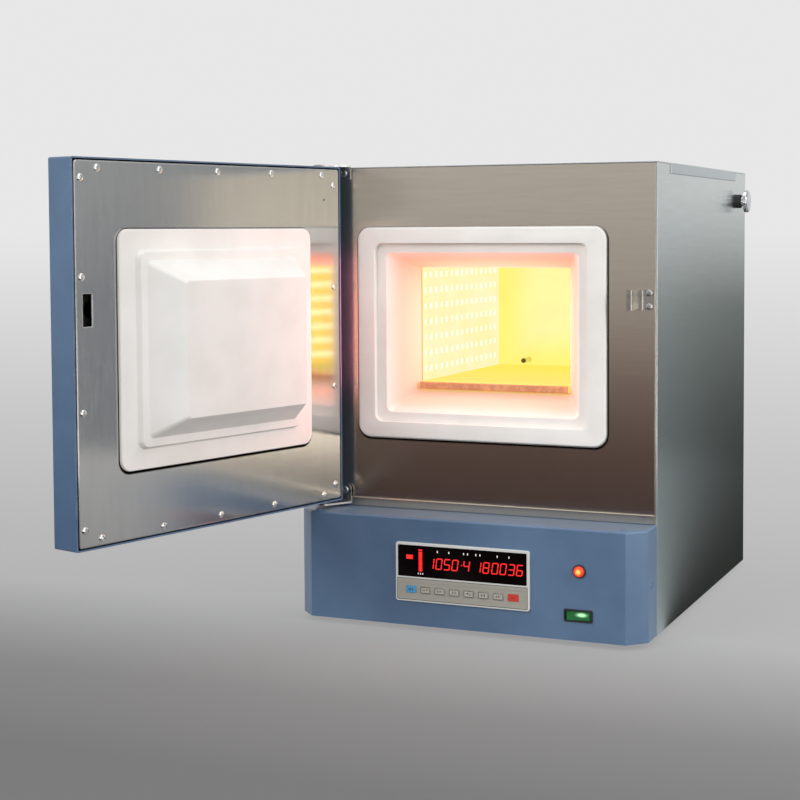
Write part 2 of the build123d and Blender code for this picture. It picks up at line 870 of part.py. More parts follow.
# Heating elements: one wire a side, up the rows and back along the top row to the rear.
def heating_element(side):
    bend = row_pitch / 2
    front_bend_y = chamber_front_y + groove_end + bend_margin + bend
    rear_bend_y = chamber_rear_y - groove_end - bend_margin - bend
    tail_y = casing_rear_y + tail_length
    near_x = side * wire_x
    far_x = side * return_x
    with BuildPart() as element:
        with BuildLine() as route:
            Line((near_x, tail_y, row_z[0]), (near_x, front_bend_y, row_z[0]))
            for row in range(row_count - 1):
                turn_y, way = (rear_bend_y, 1) if row % 2 else (front_bend_y, -1)
                other_y = front_bend_y if row % 2 else rear_bend_y
                ThreePointArc(
                    (near_x, turn_y, row_z[row]),
                    (near_x, turn_y + way * bend, row_z[row] + bend),
                    (near_x, turn_y, row_z[row + 1]),
                )
                Line((near_x, turn_y, row_z[row + 1]), (near_x, other_y, row_z[row + 1]))
            ThreePointArc(
                (near_x, front_bend_y, row_z[-1]),
                ((near_x + far_x) / 2, front_bend_y - return_offset / 2, row_z[-1]),
                (far_x, front_bend_y, row_z[-1]),
            )
            Line((far_x, front_bend_y, row_z[-1]), (far_x, tail_y, row_z[-1]))
        with BuildSketch(spot(near_x, tail_y, row_z[0], FORWARD)):
            Circle(wire_radius)
        sweep(path=route.wires()[0])
    return element


left_heating_element = heating_element(-1)
save(left_heating_element, "left_heating_element")
right_heating_element = heating_element(1)
save(right_heating_element, "right_heating_element")

# Ceramic beads carry the wire ends out of the casing.
with BuildPart() as element_terminals:
    with BuildSketch(front_plane(casing_rear_y)):
        with Locations(*wire_ends):
            Circle(terminal_radius)
            Circle(wire_radius + fit_gap, mode=Mode.SUBTRACT)
    extrude(amount=-terminal_length)
save(element_terminals, "element_terminals")

with BuildPart() as hearth_plate:
    hearth_front_y = chamber_front_y - hearth_overhang
    with BuildSketch(Plane.XY.offset(chamber_floor)):
        with Locations((0, hearth_front_y)):
            Rectangle(
                chamber_width - 2 * hearth_side_gap,
                chamber_rear_y - hearth_rear_gap - hearth_front_y,
                align=(Align.CENTER, Align.MIN),
            )
    extrude(amount=hearth_thickness)
    fillet(hearth_plate.edges().filter_by(Axis.X).group_by(Axis.Y)[0], radius=hearth_rounding)
save(hearth_plate, "hearth_plate")

# Thermocouple: a round-nosed sheath low in the rear wall, with its head behind the casing.
tip_y = chamber_rear_y - thermocouple_reach
with BuildPart() as thermocouple:
    with BuildSketch(Plane.XY.offset(thermocouple_z)):
        with BuildLine():
            Polyline(
                (thermocouple_x, tip_y),
                (thermocouple_x, casing_rear_y + head_length),
                (thermocouple_x + head_radius, casing_rear_y + head_length),
                (thermocouple_x + head_radius, casing_rear_y),
                (thermocouple_x + sheath_radius, casing_rear_y),
                (thermocouple_x + sheath_radius, tip_y + sheath_radius),
            )
            RadiusArc(
                (thermocouple_x + sheath_radius, tip_y + sheath_radius),
                (thermocouple_x, tip_y),
                sheath_radius,
            )
        make_face()
    revolve(axis=Axis((thermocouple_x, 0, thermocouple_z), BACKWARD))
save(thermocouple, "thermocouple")

# Flue pipe: up from the chamber roof and back through the rear panel, crossed by the damper shaft.
with BuildPart() as flue_tube:
    with BuildLine() as flue_route:
        FilletPolyline(
            (0, flue_y, chamber_roof),
            (0, flue_y, flue_z),
            (0, rear_y + flue_spigot, flue_z),
            radius=flue_bend,
        )
    with BuildSketch(Plane.XY.offset(chamber_roof)):
        with Locations((0, flue_y)):
            Circle(flue_radius)
            Circle(flue_radius - flue_wall, mode=Mode.SUBTRACT)
    sweep(path=flue_route.wires()[0])
    with BuildSketch(Plane.YZ.offset(-2 * flue_radius)):
        with Locations((damper_y, flue_z)):
            Circle(shaft_radius + shaft_clearance)
    extrude(amount=4 * flue_radius, mode=Mode.SUBTRACT)
    with BuildSketch(front_plane(rear_y + flue_spigot)):
        with Locations((0, flue_z)):
            Circle(flue_radius + fit_gap)
            Circle(flue_radius - spigot_step, mode=Mode.SUBTRACT)
    extrude(amount=flue_spigot, mode=Mode.SUBTRACT)
save(flue_tube, "flue_tube")

# Damper: a disc on a long shaft that leaves the right side through a bush and carries the knob.
knob_x = side_x + bush_length + seat_gap
shaft_end_x = knob_x + knob_grip
with BuildPart() as damper_flap:
    with BuildSketch(Plane.YZ.offset(-flue_radius - shaft_tail)):
        with Locations((damper_y, flue_z)):
            Circle(shaft_radius)
    extrude(amount=shaft_end_x + flue_radius + shaft_tail)
    with BuildSketch(front_plane(damper_y + flap_thickness / 2)):
        with Locations((0, flue_z)):
            Circle(flue_radius - flue_wall - flap_clearance)
    extrude(amount=flap_thickness)
save(damper_flap, "damper_flap")

with BuildPart() as damper_bush:
    with BuildSketch(Plane.YZ.offset(side_x)):
        with Locations((damper_y, flue_z)):
            Circle(bush_radius)
    extrude(amount=bush_length)
    fillet(damper_bush.faces().sort_by(Axis.X)[-1].edges(), radius=bush_rounding)
    with BuildSketch(Plane.YZ.offset(side_x)):
        with Locations((damper_y, flue_z)):
            Circle(bush_neck_radius)
    extrude(amount=-bush_neck_length)
    with Locations(spot(side_x + bush_length, damper_y, flue_z, RIGHT)):
        Hole(shaft_radius + shaft_clearance)
save(damper_bush, "damper_bush")

with BuildPart() as damper_knob:
    with BuildSketch(Plane.YZ.offset(knob_x)):
        with Locations((damper_y, flue_z)):
            Circle(knob_neck_radius)
    extrude(amount=knob_neck_length)
    with BuildSketch(Plane.YZ.offset(knob_x + knob_neck_length)):
        with Locations((damper_y, flue_z)):
            Circle(knob_radius)
    extrude(amount=knob_thickness)
    fillet(damper_knob.edges().filter_by(GeomType.CIRCLE).sort_by(Axis.X)[-1], radius=knob_thickness / 2)
    with Locations(spot(knob_x, damper_y, flue_z, LEFT)):
        Hole(shaft_radius + shaft_clearance, depth=knob_grip)
save(damper_knob, "damper_knob")

# Door shell: a folded blue pan, open towards the liner.
with BuildPart() as door_shell:
    with BuildSketch(door_plane(0)):
        with Locations((0, door_mid_z)):
            RectangleRounded(door_width, door_height, door_corner)
    extrude(amount=door_thickness)
    fillet(door_shell.faces().sort_by(Axis((0, 0, 0), door_outward))[-1].edges(), radius=door_corner)
    offset(amount=-door_sheet, openings=door_shell.faces().sort_by(Axis((0, 0, 0), door_inward))[-1])
    with Locations(spot(pivot_x, pivot_y, door_top, UP)):
        Hole(hinge_bush_radius + shaft_clearance)
    with Locations(door_spot(latch_x, latch_z, -door_thickness, door_outward)):
        Hole(latch_neck_radius + shaft_clearance, depth=door_sheet)
save(door_shell, "door_shell")

# Door liner: a shallow stainless pan with the latch slot, screwed on round its edge.
with BuildPart() as door_liner:
    with BuildSketch(door_plane(0)):
        with Locations((0, door_mid_z)):
            RectangleRounded(liner_width, liner_height, liner_corner)
    extrude(amount=liner_fold)
    offset(amount=-liner_sheet, openings=door_liner.faces().sort_by(Axis((0, 0, 0), door_outward))[-1])
    with BuildSketch(door_plane(0)):
        with Locations((slot_x, latch_z)):
            RectangleRounded(slot_width, slot_height, slot_radius)
        with Locations((vent_hole_x, liner_bottom + liner_height - vent_hole_drop)):
            Circle(vent_hole_radius)
    extrude(amount=liner_sheet, mode=Mode.SUBTRACT)
    with Locations(*liner_spots):
        Hole(screw_hole_radius, depth=liner_sheet)
save(door_liner, "door_liner")

liner_screws = pan_screws(liner_spots)
save(liner_screws, "liner_screws")

# Door insulation: one board behind the liner, cut away for the hinge bushes and the latch spindle.
with BuildPart() as door_insulation:
    with BuildSketch(door_plane(-insulation_gap)):
        with Locations((0, door_mid_z)):
            Rectangle(
                door_width - 2 * door_sheet - 2 * insulation_side_gap,
                door_height - 2 * door_sheet - 2 * insulation_side_gap,
            )
        with Locations((latch_x, latch_z)):
            Circle(latch_neck_radius + insulation_side_gap, mode=Mode.SUBTRACT)
    extrude(amount=door_thickness - door_sheet - insulation_gap)
    bush_cut = hinge_bush_radius + insulation_side_gap
    with Locations(
        spot(pivot_x, pivot_y, door_top, UP),
        spot(pivot_x, pivot_y, door_bottom, (0, 0, -1)),
    ):
        Hole(bush_cut, depth=hinge_bush_length + 2 * insulation_side_gap)
save(door_insulation, "door_insulation")

# Door plug: a pad, a sloped step and a tapered block of ceramic fibre in one piece.
with BuildPart() as door_plug:
    with BuildSketch(door_plane(0)):
        with Locations((0, plug_z)):
            RectangleRounded(pad_width, pad_height, pad_radius)
    extrude(amount=-pad_thickness)
    fillet(door_plug.faces().sort_by(Axis((0, 0, 0), door_inward))[-1].edges(), radius=collar_rounding)
    with BuildSketch(door_plane(pad_thickness)):
        with Locations((0, plug_z)):
            RectangleRounded(step_width, step_height, step_radius)
    with BuildSketch(door_plane(pad_thickness + step_thickness)):
        with Locations((0, plug_z)):
            RectangleRounded(
                step_width - 2 * step_slope,
                step_height - 2 * step_slope,
                step_radius - step_slope,
            )
    loft()
    with BuildSketch(door_plane(pad_thickness + step_thickness)):
        with Locations((0, plug_z)):
            RectangleRounded(plug_width, plug_height, plug_radius)
    with BuildSketch(door_plane(pad_thickness + step_thickness + plug_length)):
        with Locations((0, plug_z)):
            RectangleRounded(plug_front_width, plug_front_height, plug_front_radius)
    loft()
save(door_plug, "door_plug")

# Hinge bushes: flanged sleeves in the door's top and bottom that turn on the brackets' pins.
with BuildPart() as hinge_bushes:
    with Locations(spot(pivot_x, pivot_y, door_top, UP)):
        Cylinder(
            hinge_bush_radius,
            hinge_bush_length + fit_gap,
            align=(Align.CENTER, Align.CENTER, Align.MAX),
        )
    with Locations(spot(pivot_x, pivot_y, door_bottom, (0, 0, -1))):
        Cylinder(
            hinge_bush_radius,
            hinge_bush_length,
            align=(Align.CENTER, Align.CENTER, Align.MAX),
        )
        Cylinder(
            hinge_washer_radius,
            lower_plate_gap - seat_gap,
            align=(Align.CENTER, Align.CENTER, Align.MIN),
        )
    with Locations(spot(pivot_x, pivot_y, door_top, UP)):
        Hole(pin_radius + pin_clearance)
save(hinge_bushes, "hinge_bushes")


# Hinge brackets: an ear on the front panel, a plate that reaches forward and a welded pin.
def hinge_bracket(plate_z, ear_y, ear_bottom, ear_top, ear_width, pin_start, pin_end):
    """One bracket: its plate's underside, the ear's place and the pin's two ends."""
    with BuildPart() as bracket:
        with BuildSketch(Plane.XY.offset(plate_z)):
            with Locations((pivot_x, pivot_y)):
                Circle(hinge_nose)
            with Locations((ear_x, ear_y - hinge_ear / 2)):
                Rectangle(ear_width, hinge_ear)
            make_hull()
        extrude(amount=hinge_plate)
        with BuildSketch(front_plane(ear_y)):
            with Locations((ear_x, (ear_bottom + ear_top) / 2)):
                Rectangle(ear_width, ear_top - ear_bottom)
        extrude(amount=hinge_ear)
        with BuildSketch(Plane.XY.offset(pin_start)):
            with Locations((pivot_x, pivot_y)):
                Circle(pin_radius)
        extrude(amount=pin_end - pin_start)
    return bracket


with BuildPart() as upper_hinge_bracket:
    add(
        hinge_bracket(
            upper_plate_z,
            front_y,
            upper_plate_z + hinge_plate - upper_ear_height,
            upper_plate_z + hinge_plate,
            upper_ear_width,
            upper_plate_z,
            door_top - hinge_bush_length,
        ).part
    )
    with Locations(upper_ear_screw):
        Hole(screw_hole_radius, depth=hinge_ear)
save(upper_hinge_bracket, "upper_hinge_bracket")

with BuildPart() as lower_hinge_bracket:
    add(
        hinge_bracket(
            lower_plate_z,
            ledge_y,
            lower_plate_z,
            lower_plate_z + lower_ear_height,
            lower_ear_width,
            lower_plate_z,
            door_bottom + hinge_bush_length,
        ).part
    )
    ear_corners = lower_hinge_bracket.edges().filter_by(Axis.Y).group_by(Axis.Z)[-1]
    fillet(ear_corners, radius=(lower_ear_width - lower_ear_flat) / 2)
    with Locations(lower_ear_screw):
        Hole(screw_hole_radius, depth=hinge_ear)
save(lower_hinge_bracket, "lower_hinge_bracket")

# Keeper: a folded catch with a flange on the front panel, a leg forward and a lip turned inwards.
with BuildPart() as keeper:
    with BuildSketch(Plane.XY.offset(latch_z - keeper_height / 2)):
        with BuildLine():
            Polyline(
                (keeper_outer_x, front_y),
                (keeper_fold_x, front_y),
                (keeper_fold_x, front_y - keeper_step),
                (keeper_leg_x, front_y - keeper_step),
                (keeper_leg_x, front_y - keeper_reach),
                (keeper_lip_x, front_y - keeper_reach),
            )
            offset(amount=keeper_sheet, side=Side.LEFT)
        make_face()
    extrude(amount=keeper_height)
    with Locations(*keeper_screws):
        Hole(screw_hole_radius, depth=keeper_sheet)
save(keeper, "keeper")

front_screws = pan_screws([*keeper_screws, upper_ear_screw, lower_ear_screw])
save(front_screws, "front_screws")

cover_screws = pan_screws([*base_side_screws, *base_top_screws, *rear_screws])
save(cover_screws, "cover_screws")

# Latch: a bush in the shell, a spindle with its cam behind the liner, and a lever outside.
with BuildPart() as latch_bush:
    with Locations(door_spot(latch_x, latch_z, -door_thickness, door_outward)):
        Cylinder(latch_bush_radius, latch_bush_flange, align=(Align.CENTER, Align.CENTER, Align.MIN))
        Cylinder(latch_neck_radius, latch_neck_length, align=(Align.CENTER, Align.CENTER, Align.MAX))
    fillet(
        latch_bush.faces().sort_by(Axis((0, 0, 0), door_outward))[-1].edges(),
        radius=latch_bush_flange / 2,
    )
    with Locations(door_spot(latch_x, latch_z, -door_thickness - latch_bush_flange, door_outward)):
        Hole(spindle_radius + spindle_clearance)
save(latch_bush, "latch_bush")

handle_depth = door_thickness + latch_bush_flange + handle_gap
cam_front = liner_sheet + cam_depth
with BuildPart() as latch_cam:
    with BuildSketch(door_plane(-cam_front)):
        with Locations((latch_x, latch_z)):
            Rectangle(cam_width, cam_radius, align=(Align.CENTER, Align.MAX))
            Circle(cam_radius, mode=Mode.INTERSECT)
            Circle(cam_hub_radius)
    extrude(amount=cam_thickness)
    with BuildSketch(door_plane(-liner_sheet - fit_gap)):
        with Locations((latch_x, latch_z)):
            Circle(spindle_radius)
    extrude(amount=handle_depth + handle_thickness / 2 - liner_sheet - fit_gap)
save(latch_cam, "latch_cam")

with BuildPart() as latch_handle:
    with BuildSketch(door_plane(-handle_depth)):
        with Locations((latch_x, latch_z)):
            Circle(handle_boss_radius)
        with Locations((latch_x - handle_length, latch_z)):
            Circle(handle_end_radius)
        make_hull()
    extrude(amount=handle_thickness)
    fillet(
        latch_handle.faces().sort_by(Axis((0, 0, 0), door_outward))[-1].edges(),
        radius=handle_rounding,
    )
    with Locations(door_spot(latch_x, latch_z, -handle_depth, door_inward)):
        Hole(spindle_radius + spindle_clearance, depth=handle_thickness / 2)
save(latch_handle, "latch_handle")

# Controller: a moulded case whose bezel frames the display window and the keypad.
key_places = [(key_pitch * (i - (key_count - 1) / 2), keypad_z) for i in range(key_count)]
bezel_front_y = base_front_y - bezel_thickness
keypad_y = bezel_front_y + keypad_depth
with BuildPart() as controller_case:
    with BuildSketch(front_plane(base_front_y)):
        with Locations((0, controller_z)):
            RectangleRounded(bezel_width, bezel_height, bezel_radius)
    extrude(amount=bezel_thickness)
    fillet(controller_case.faces().sort_by(Axis.Y)[0].edges(), radius=bezel_rounding)
    with BuildSketch(front_plane(base_front_y)):
        with Locations((0, controller_z)):
            Rectangle(case_width, case_height)
    extrude(amount=-case_depth)
    with BuildSketch(front_plane(bezel_front_y)):
        with Locations((0, window_z)):
            RectangleRounded(window_width, window_high, window_radius)
    extrude(amount=-window_thickness, mode=Mode.SUBTRACT)
    with BuildSketch(front_plane(bezel_front_y)):
        with Locations((0, keypad_z)):
            RectangleRounded(keypad_width, keypad_height, window_radius)
    extrude(amount=-keypad_depth, mode=Mode.SUBTRACT)
    with BuildSketch(front_plane(keypad_y)):
        with Locations(*key_places):
            RectangleRounded(key_width + 2 * fit_gap, key_height + 2 * fit_gap, key_radius)
    extrude(amount=-key_depth - key_travel, mode=Mode.SUBTRACT)
save(controller_case, "controller_case")

with BuildPart() as display_window:
    with BuildSketch(front_plane(bezel_front_y + window_thickness)):
        with Locations((0, window_z)):
            RectangleRounded(window_width - 2 * fit_gap, window_high - 2 * fit_gap, window_radius)
    extrude(amount=window_thickness - fit_gap)
save(display_window, "display_window")


def key(place):
    """One push button, standing proud of the keypad with its travel free behind it."""
    with BuildPart() as button:
        with BuildSketch(front_plane(keypad_y - key_proud)):
            with Locations(place):
                RectangleRounded(key_width, key_height, key_radius)
        extrude(amount=-key_proud - key_depth + fit_gap)
        fillet(button.faces().sort_by(Axis.Y)[0].edges(), radius=key_rounding)
    return button


for number, place in enumerate(key_places, start=1):
    save(key(place), f"key_{number}")

# Pilot lamp: a round bezel through the base cover with a domed lens seated in it.
pilot_front_y = base_front_y - pilot_flange
with BuildPart() as pilot_bezel:
    with BuildSketch(front_plane(base_front_y)):
        with Locations((pilot_x, pilot_z)):
            Circle(pilot_radius)
    extrude(amount=pilot_flange)
    chamfer(pilot_bezel.faces().sort_by(Axis.Y)[0].edges(), length=pilot_chamfer)
    with BuildSketch(front_plane(base_front_y)):
        with Locations((pilot_x, pilot_z)):
            Circle(pilot_body_radius)
    extrude(amount=-pilot_body_length)
    with BuildSketch(front_plane(pilot_front_y)):
        with Locations((pilot_x, pilot_z)):
            Circle(lens_radius + fit_gap / 2)
    extrude(amount=-lens_seat, mode=Mode.SUBTRACT)
save(pilot_bezel, "pilot_bezel")

with BuildPart() as pilot_lens:
    with BuildSketch(front_plane(pilot_front_y + lens_seat)):
        with Locations((pilot_x, pilot_z)):
            Circle(lens_radius)
    extrude(amount=lens_height)
    fillet(pilot_lens.faces().sort_by(Axis.Y)[0].edges(), radius=lens_rounding)
save(pilot_lens, "pilot_lens")

# Rocker switch: a framed body and a button that rocks about an upright pivot, resting switched on.
rocker_front_y = base_front_y - rocker_flange
rocker_pivot_y = rocker_front_y + rocker_pivot_depth
with BuildPart() as rocker_bezel:
    with BuildSketch(front_plane(base_front_y)):
        with Locations((rocker_x, rocker_z)):
            RectangleRounded(rocker_flange_width, rocker_flange_height, rocker_corner)
    extrude(amount=rocker_flange)
    chamfer(rocker_bezel.faces().sort_by(Axis.Y)[0].edges(), length=rocker_chamfer)
    with BuildSketch(front_plane(base_front_y)):
        with Locations((rocker_x, rocker_z)):
            Rectangle(rocker_body_width, rocker_body_height)
    extrude(amount=-rocker_body_depth)
    with BuildSketch(front_plane(rocker_front_y)):
        with Locations((rocker_x, rocker_z)):
            Rectangle(2 * (rocker_radius + rocker_clearance), rocker_body_height - 2 * rocker_wall)
    extrude(amount=-rocker_flange - rocker_body_depth + 2 * rocker_wall, mode=Mode.SUBTRACT)
save(rocker_bezel, "rocker_bezel")

rocker_high = rocker_body_height - 2 * rocker_wall - 2 * rocker_clearance
rocker_edge = rocker_face + rocker_radius * sin(radians(rocker_tilt))
rocker_plane = Plane(
    origin=(rocker_x, rocker_pivot_y, rocker_z - rocker_high / 2),
    x_dir=(cos(radians(rocker_tilt)), sin(radians(rocker_tilt)), 0),
    z_dir=UP,
)
with BuildPart() as rocker_button:
    with BuildSketch(rocker_plane):
        with BuildLine():
            Polyline(
                (-rocker_radius, -rocker_edge),
                (0, -rocker_face),
                (rocker_radius, -rocker_edge),
                (rocker_radius, rocker_back),
                (-rocker_radius, rocker_back),
                close=True,
            )
        make_face()
        Circle(rocker_radius, mode=Mode.INTERSECT)
    extrude(amount=rocker_high)
save(rocker_button, "rocker_button")

# Base bay: a relay on its finned heat sink and a terminal block, both standing on the pan.
sink_top = base_sheet + sink_fin_height + sink_plate
with BuildPart() as heat_sink:
    with BuildSketch(Plane.XY.offset(base_sheet)):
        with Locations((sink_x, sink_y)):
            with GridLocations((sink_width - sink_fin) / (sink_fin_count - 1), 0, sink_fin_count, 1):
                Rectangle(sink_fin, sink_length)
    extrude(amount=sink_fin_height)
    with BuildSketch(Plane.XY.offset(base_sheet + sink_fin_height)):
        with Locations((sink_x, sink_y)):
            Rectangle(sink_width, sink_length)
    extrude(amount=sink_plate)
save(heat_sink, "heat_sink")

with BuildPart() as solid_state_relay:
    with BuildSketch(Plane.XY.offset(sink_top)):
        with Locations((sink_x, sink_y)):
            Rectangle(relay_width, relay_length)
    extrude(amount=relay_height)
    chamfer(solid_state_relay.faces().sort_by(Axis.Z)[-1].edges(), length=relay_chamfer)
save(solid_state_relay, "solid_state_relay")

with BuildPart() as terminal_block:
    with BuildSketch(Plane.XY.offset(base_sheet)):
        with Locations((block_x, block_y)):
            Rectangle(block_width, block_length)
    extrude(amount=block_height)
    with BuildSketch(Plane.XY.offset(base_sheet + block_height)):
        with Locations((block_x, block_y)):
            with GridLocations(block_width / block_ways, 0, block_ways, 1):
                Rectangle(block_slot_width, block_length)
    extrude(amount=-block_slot_depth, mode=Mode.SUBTRACT)
save(terminal_block, "terminal_block")

# Mains gland: a hexagon and a domed nut outside, a threaded tail inside, and the cable's bore.
with BuildPart() as mains_gland:
    with BuildSketch(front_plane(rear_y)):
        with Locations((gland_x, gland_z)):
            RegularPolygon(gland_hex_radius, 6)
    extrude(amount=-gland_hex_height)
    with BuildSketch(front_plane(rear_y + gland_hex_height)):
        with Locations((gland_x, gland_z)):
            Circle(gland_dome_radius)
    extrude(amount=-gland_dome_length)
    fillet(mains_gland.faces().sort_by(Axis.Y)[-1].edges(), radius=gland_rounding)
    with BuildSketch(front_plane(rear_y)):
        with Locations((gland_x, gland_z)):
            Circle(gland_thread_radius)
    extrude(amount=gland_tail)
    with Locations(spot(gland_x, rear_y + gland_hex_height + gland_dome_length, gland_z, BACKWARD)):
        Hole(gland_bore)
save(mains_gland, "mains_gland")
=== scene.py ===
# %% [markdown]
# An electric furnace, dressed for its picture
#
# The solids of the furnace come from CAD and keep their places. What is missing is the look: the
# satin blue paint, the brushed steel that mirrors its surroundings, the chalky ceramic fibre and
# the yellow heat inside. We load the solids first and note their box.

# %% Load the frame
import random
from math import cos, radians, sin, sqrt

import bmesh
import bpy
from bmesh.types import BMEdge, BMVert
from mathutils import Matrix, Vector


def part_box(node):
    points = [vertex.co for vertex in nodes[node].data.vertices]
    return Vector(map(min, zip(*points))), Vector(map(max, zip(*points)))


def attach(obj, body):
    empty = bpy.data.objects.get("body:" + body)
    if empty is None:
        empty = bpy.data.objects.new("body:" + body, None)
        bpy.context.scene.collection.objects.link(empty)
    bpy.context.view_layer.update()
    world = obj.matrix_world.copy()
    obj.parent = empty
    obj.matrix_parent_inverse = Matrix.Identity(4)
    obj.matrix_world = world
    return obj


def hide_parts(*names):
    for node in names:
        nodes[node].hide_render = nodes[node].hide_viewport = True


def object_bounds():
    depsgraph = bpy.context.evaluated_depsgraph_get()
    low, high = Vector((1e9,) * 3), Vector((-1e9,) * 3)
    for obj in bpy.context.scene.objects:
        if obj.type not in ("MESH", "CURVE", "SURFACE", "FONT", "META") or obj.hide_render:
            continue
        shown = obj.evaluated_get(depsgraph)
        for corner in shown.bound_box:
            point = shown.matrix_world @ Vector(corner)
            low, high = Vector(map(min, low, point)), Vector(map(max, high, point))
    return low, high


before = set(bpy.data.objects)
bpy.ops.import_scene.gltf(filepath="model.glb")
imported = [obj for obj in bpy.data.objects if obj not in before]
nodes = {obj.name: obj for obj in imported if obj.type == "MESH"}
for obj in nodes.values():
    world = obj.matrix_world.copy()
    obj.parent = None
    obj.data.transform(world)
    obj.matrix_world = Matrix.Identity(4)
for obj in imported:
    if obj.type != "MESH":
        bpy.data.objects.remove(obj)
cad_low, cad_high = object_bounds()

scene = bpy.context.scene
cad_size = [round(high - low, 3) for low, high in zip(cad_low, cad_high)]
print(f"{len(nodes)} nodes in a box of {cad_size} m")

# %% [markdown]
# The camera stands right of the furnace and a little above the chamber, with a long lens. Its turn
# is given as a photographer would say it: so far round, so far down, and a touch of roll. The lens
# shift only moves the crop, because the picture was cut from a larger one.

# %% The camera
camera_place = Vector((0.64488, -1.88181, 0.42901))
camera_turn = 22.725
camera_tilt = -2.884
camera_roll = -0.281
camera_lens = 73.62
camera_shift = (-0.04272, -0.10909)

camera = bpy.data.objects.new("camera", bpy.data.cameras.new("camera"))
scene.collection.objects.link(camera)
camera.data.lens = camera_lens
camera.data.shift_x, camera.data.shift_y = camera_shift
camera.data.clip_start = 0.05
camera.data.clip_end = 40
aim = (
    Matrix.Rotation(radians(camera_turn), 4, "Z")
    @ Matrix.Rotation(radians(90 + camera_tilt), 4, "X")
    @ Matrix.Rotation(radians(camera_roll), 4, "Z")
)
camera.matrix_world = Matrix.Translation(camera_place) @ aim
scene.camera = camera
scene.view_settings.view_transform = "Standard"
print("camera looks along", [round(v, 3) for v in (aim @ Vector((0, 0, -1)))])

# %% [markdown]
# Every mesh that we add starts as a bmesh. A few small helpers keep the steps below short. One
# turns a finished bmesh into an object that rides on a body, one decides which edges stay crisp,
# and one wraps up a node tree, so that a material reads from top to bottom like a recipe.

# %% Helpers for meshes
def finish_piece(mesh, name, material, body=None, replaces=()):
    """Turn a bmesh into an object, give it its finish and let it ride on its body."""
    bmesh.ops.recalc_face_normals(mesh, faces=mesh.faces)
    data = bpy.data.meshes.new(name)
    mesh.to_mesh(data)
    mesh.free()
    piece = bpy.data.objects.new(name, data)
    scene.collection.objects.link(piece)
    data.materials.append(material)
    if body is None:
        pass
    else:
        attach(piece, body)
    if replaces:
        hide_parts(*replaces)
    print(f"{name}: {len(data.polygons)} faces")
    return piece


def only(kind, items):
    """The items of one kind out of what a bmesh operator hands back."""
    return [item for item in items if isinstance(item, kind)]


def shade_smooth(piece, angle=32):
    """Smooth shading that keeps edges sharper than the angle crisp."""
    piece.data.polygons.foreach_set("use_smooth", [True] * len(piece.data.polygons))
    mesh = bmesh.new()
    mesh.from_mesh(piece.data)
    for edge in mesh.edges:
        edge.smooth = edge.is_manifold and edge.calc_face_angle(0) < radians(angle)
    mesh.to_mesh(piece.data)
    mesh.free()


# %% Helpers for node trees
class Recipe:
    """A node tree and short ways to add to it."""

    def __init__(self, tree, shader=None):
        self.tree = tree
        self.shader = shader

    def add(self, kind, **settings):
        node = self.tree.nodes.new(kind)
        for name, value in settings.items():
            setattr(node, name, value)
        return node

    def feed(self, socket, value):
        """Link a socket, or set the plain value that it keeps."""
        if isinstance(value, bpy.types.NodeSocket):
            self.tree.links.new(value, socket)
        else:
            socket.default_value = value

    def paint(self, name, value):
        """Feed one of the inputs of the material's own shader."""
        self.feed(self.shader.inputs[name], value)

    def place(self):
        return self.add("ShaderNodeTexCoord").outputs["Object"]

    def axis(self, name):
        split = self.add("ShaderNodeSeparateXYZ")
        self.feed(split.inputs[0], self.place())
        return split.outputs[name]

    def math(self, operation, first, second=0.0):
        node = self.add("ShaderNodeMath", operation=operation)
        self.feed(node.inputs[0], first)
        self.feed(node.inputs[1], second)
        return node.outputs[0]

    def vector(self, operation, first, second=(0, 0, 0), result="Vector"):
        node = self.add("ShaderNodeVectorMath", operation=operation)
        self.feed(node.inputs[0], first)
        self.feed(node.inputs[1], second)
        return node.outputs[result]

    def ramp(self, value, low, high, start=0.0, end=1.0, smooth=True):
        """Follow a value from low to high and give start to end."""
        node = self.add("ShaderNodeMapRange", clamp=True)
        node.interpolation_type = "SMOOTHSTEP" if smooth else "LINEAR"
        for socket, number in zip(node.inputs[:5], (value, low, high, start, end)):
            self.feed(socket, number)
        return node.outputs[0]

    def mix(self, factor, first, second, blend="MIX"):
        node = self.add("ShaderNodeMix", data_type="RGBA", blend_type=blend)
        self.feed(node.inputs["Factor"], factor)
        self.feed(node.inputs[6], first)
        self.feed(node.inputs[7], second)
        return node.outputs[2]

    def noise(self, scale, detail=3.0, roughness=0.5, stretch=(1, 1, 1)):
        """Cloudy noise. Its scale and stretch may come from the inputs of a group."""
        mapping = self.add("ShaderNodeMapping")
        self.feed(mapping.inputs["Vector"], self.place())
        self.feed(mapping.inputs["Scale"], stretch)
        node = self.add("ShaderNodeTexNoise")
        self.feed(node.inputs["Vector"], mapping.outputs[0])
        for name, number in (("Scale", scale), ("Detail", detail), ("Roughness", roughness)):
            self.feed(node.inputs[name], number)
        return node.outputs["Fac"]

    def cells(self, scale, feature="F1"):
        """How far a point lies from the middle of its own cell."""
        node = self.add("ShaderNodeTexVoronoi", feature=feature)
        self.feed(node.inputs["Vector"], self.place())
        self.feed(node.inputs["Scale"], scale)
        return node.outputs["Distance"]

    def bump(self, height, distance, strength=1.0, normal=None):
        node = self.add("ShaderNodeBump")
        self.feed(node.inputs["Strength"], strength)
        self.feed(node.inputs["Distance"], distance)
        self.feed(node.inputs["Height"], height)
        if normal is not None:
            self.feed(node.inputs["Normal"], normal)
        return node.outputs[0]

    def group(self, tree, **values):
        node = self.add("ShaderNodeGroup")
        node.node_tree = tree
        for name, value in values.items():
            self.feed(node.inputs[name], value)
        return node.outputs


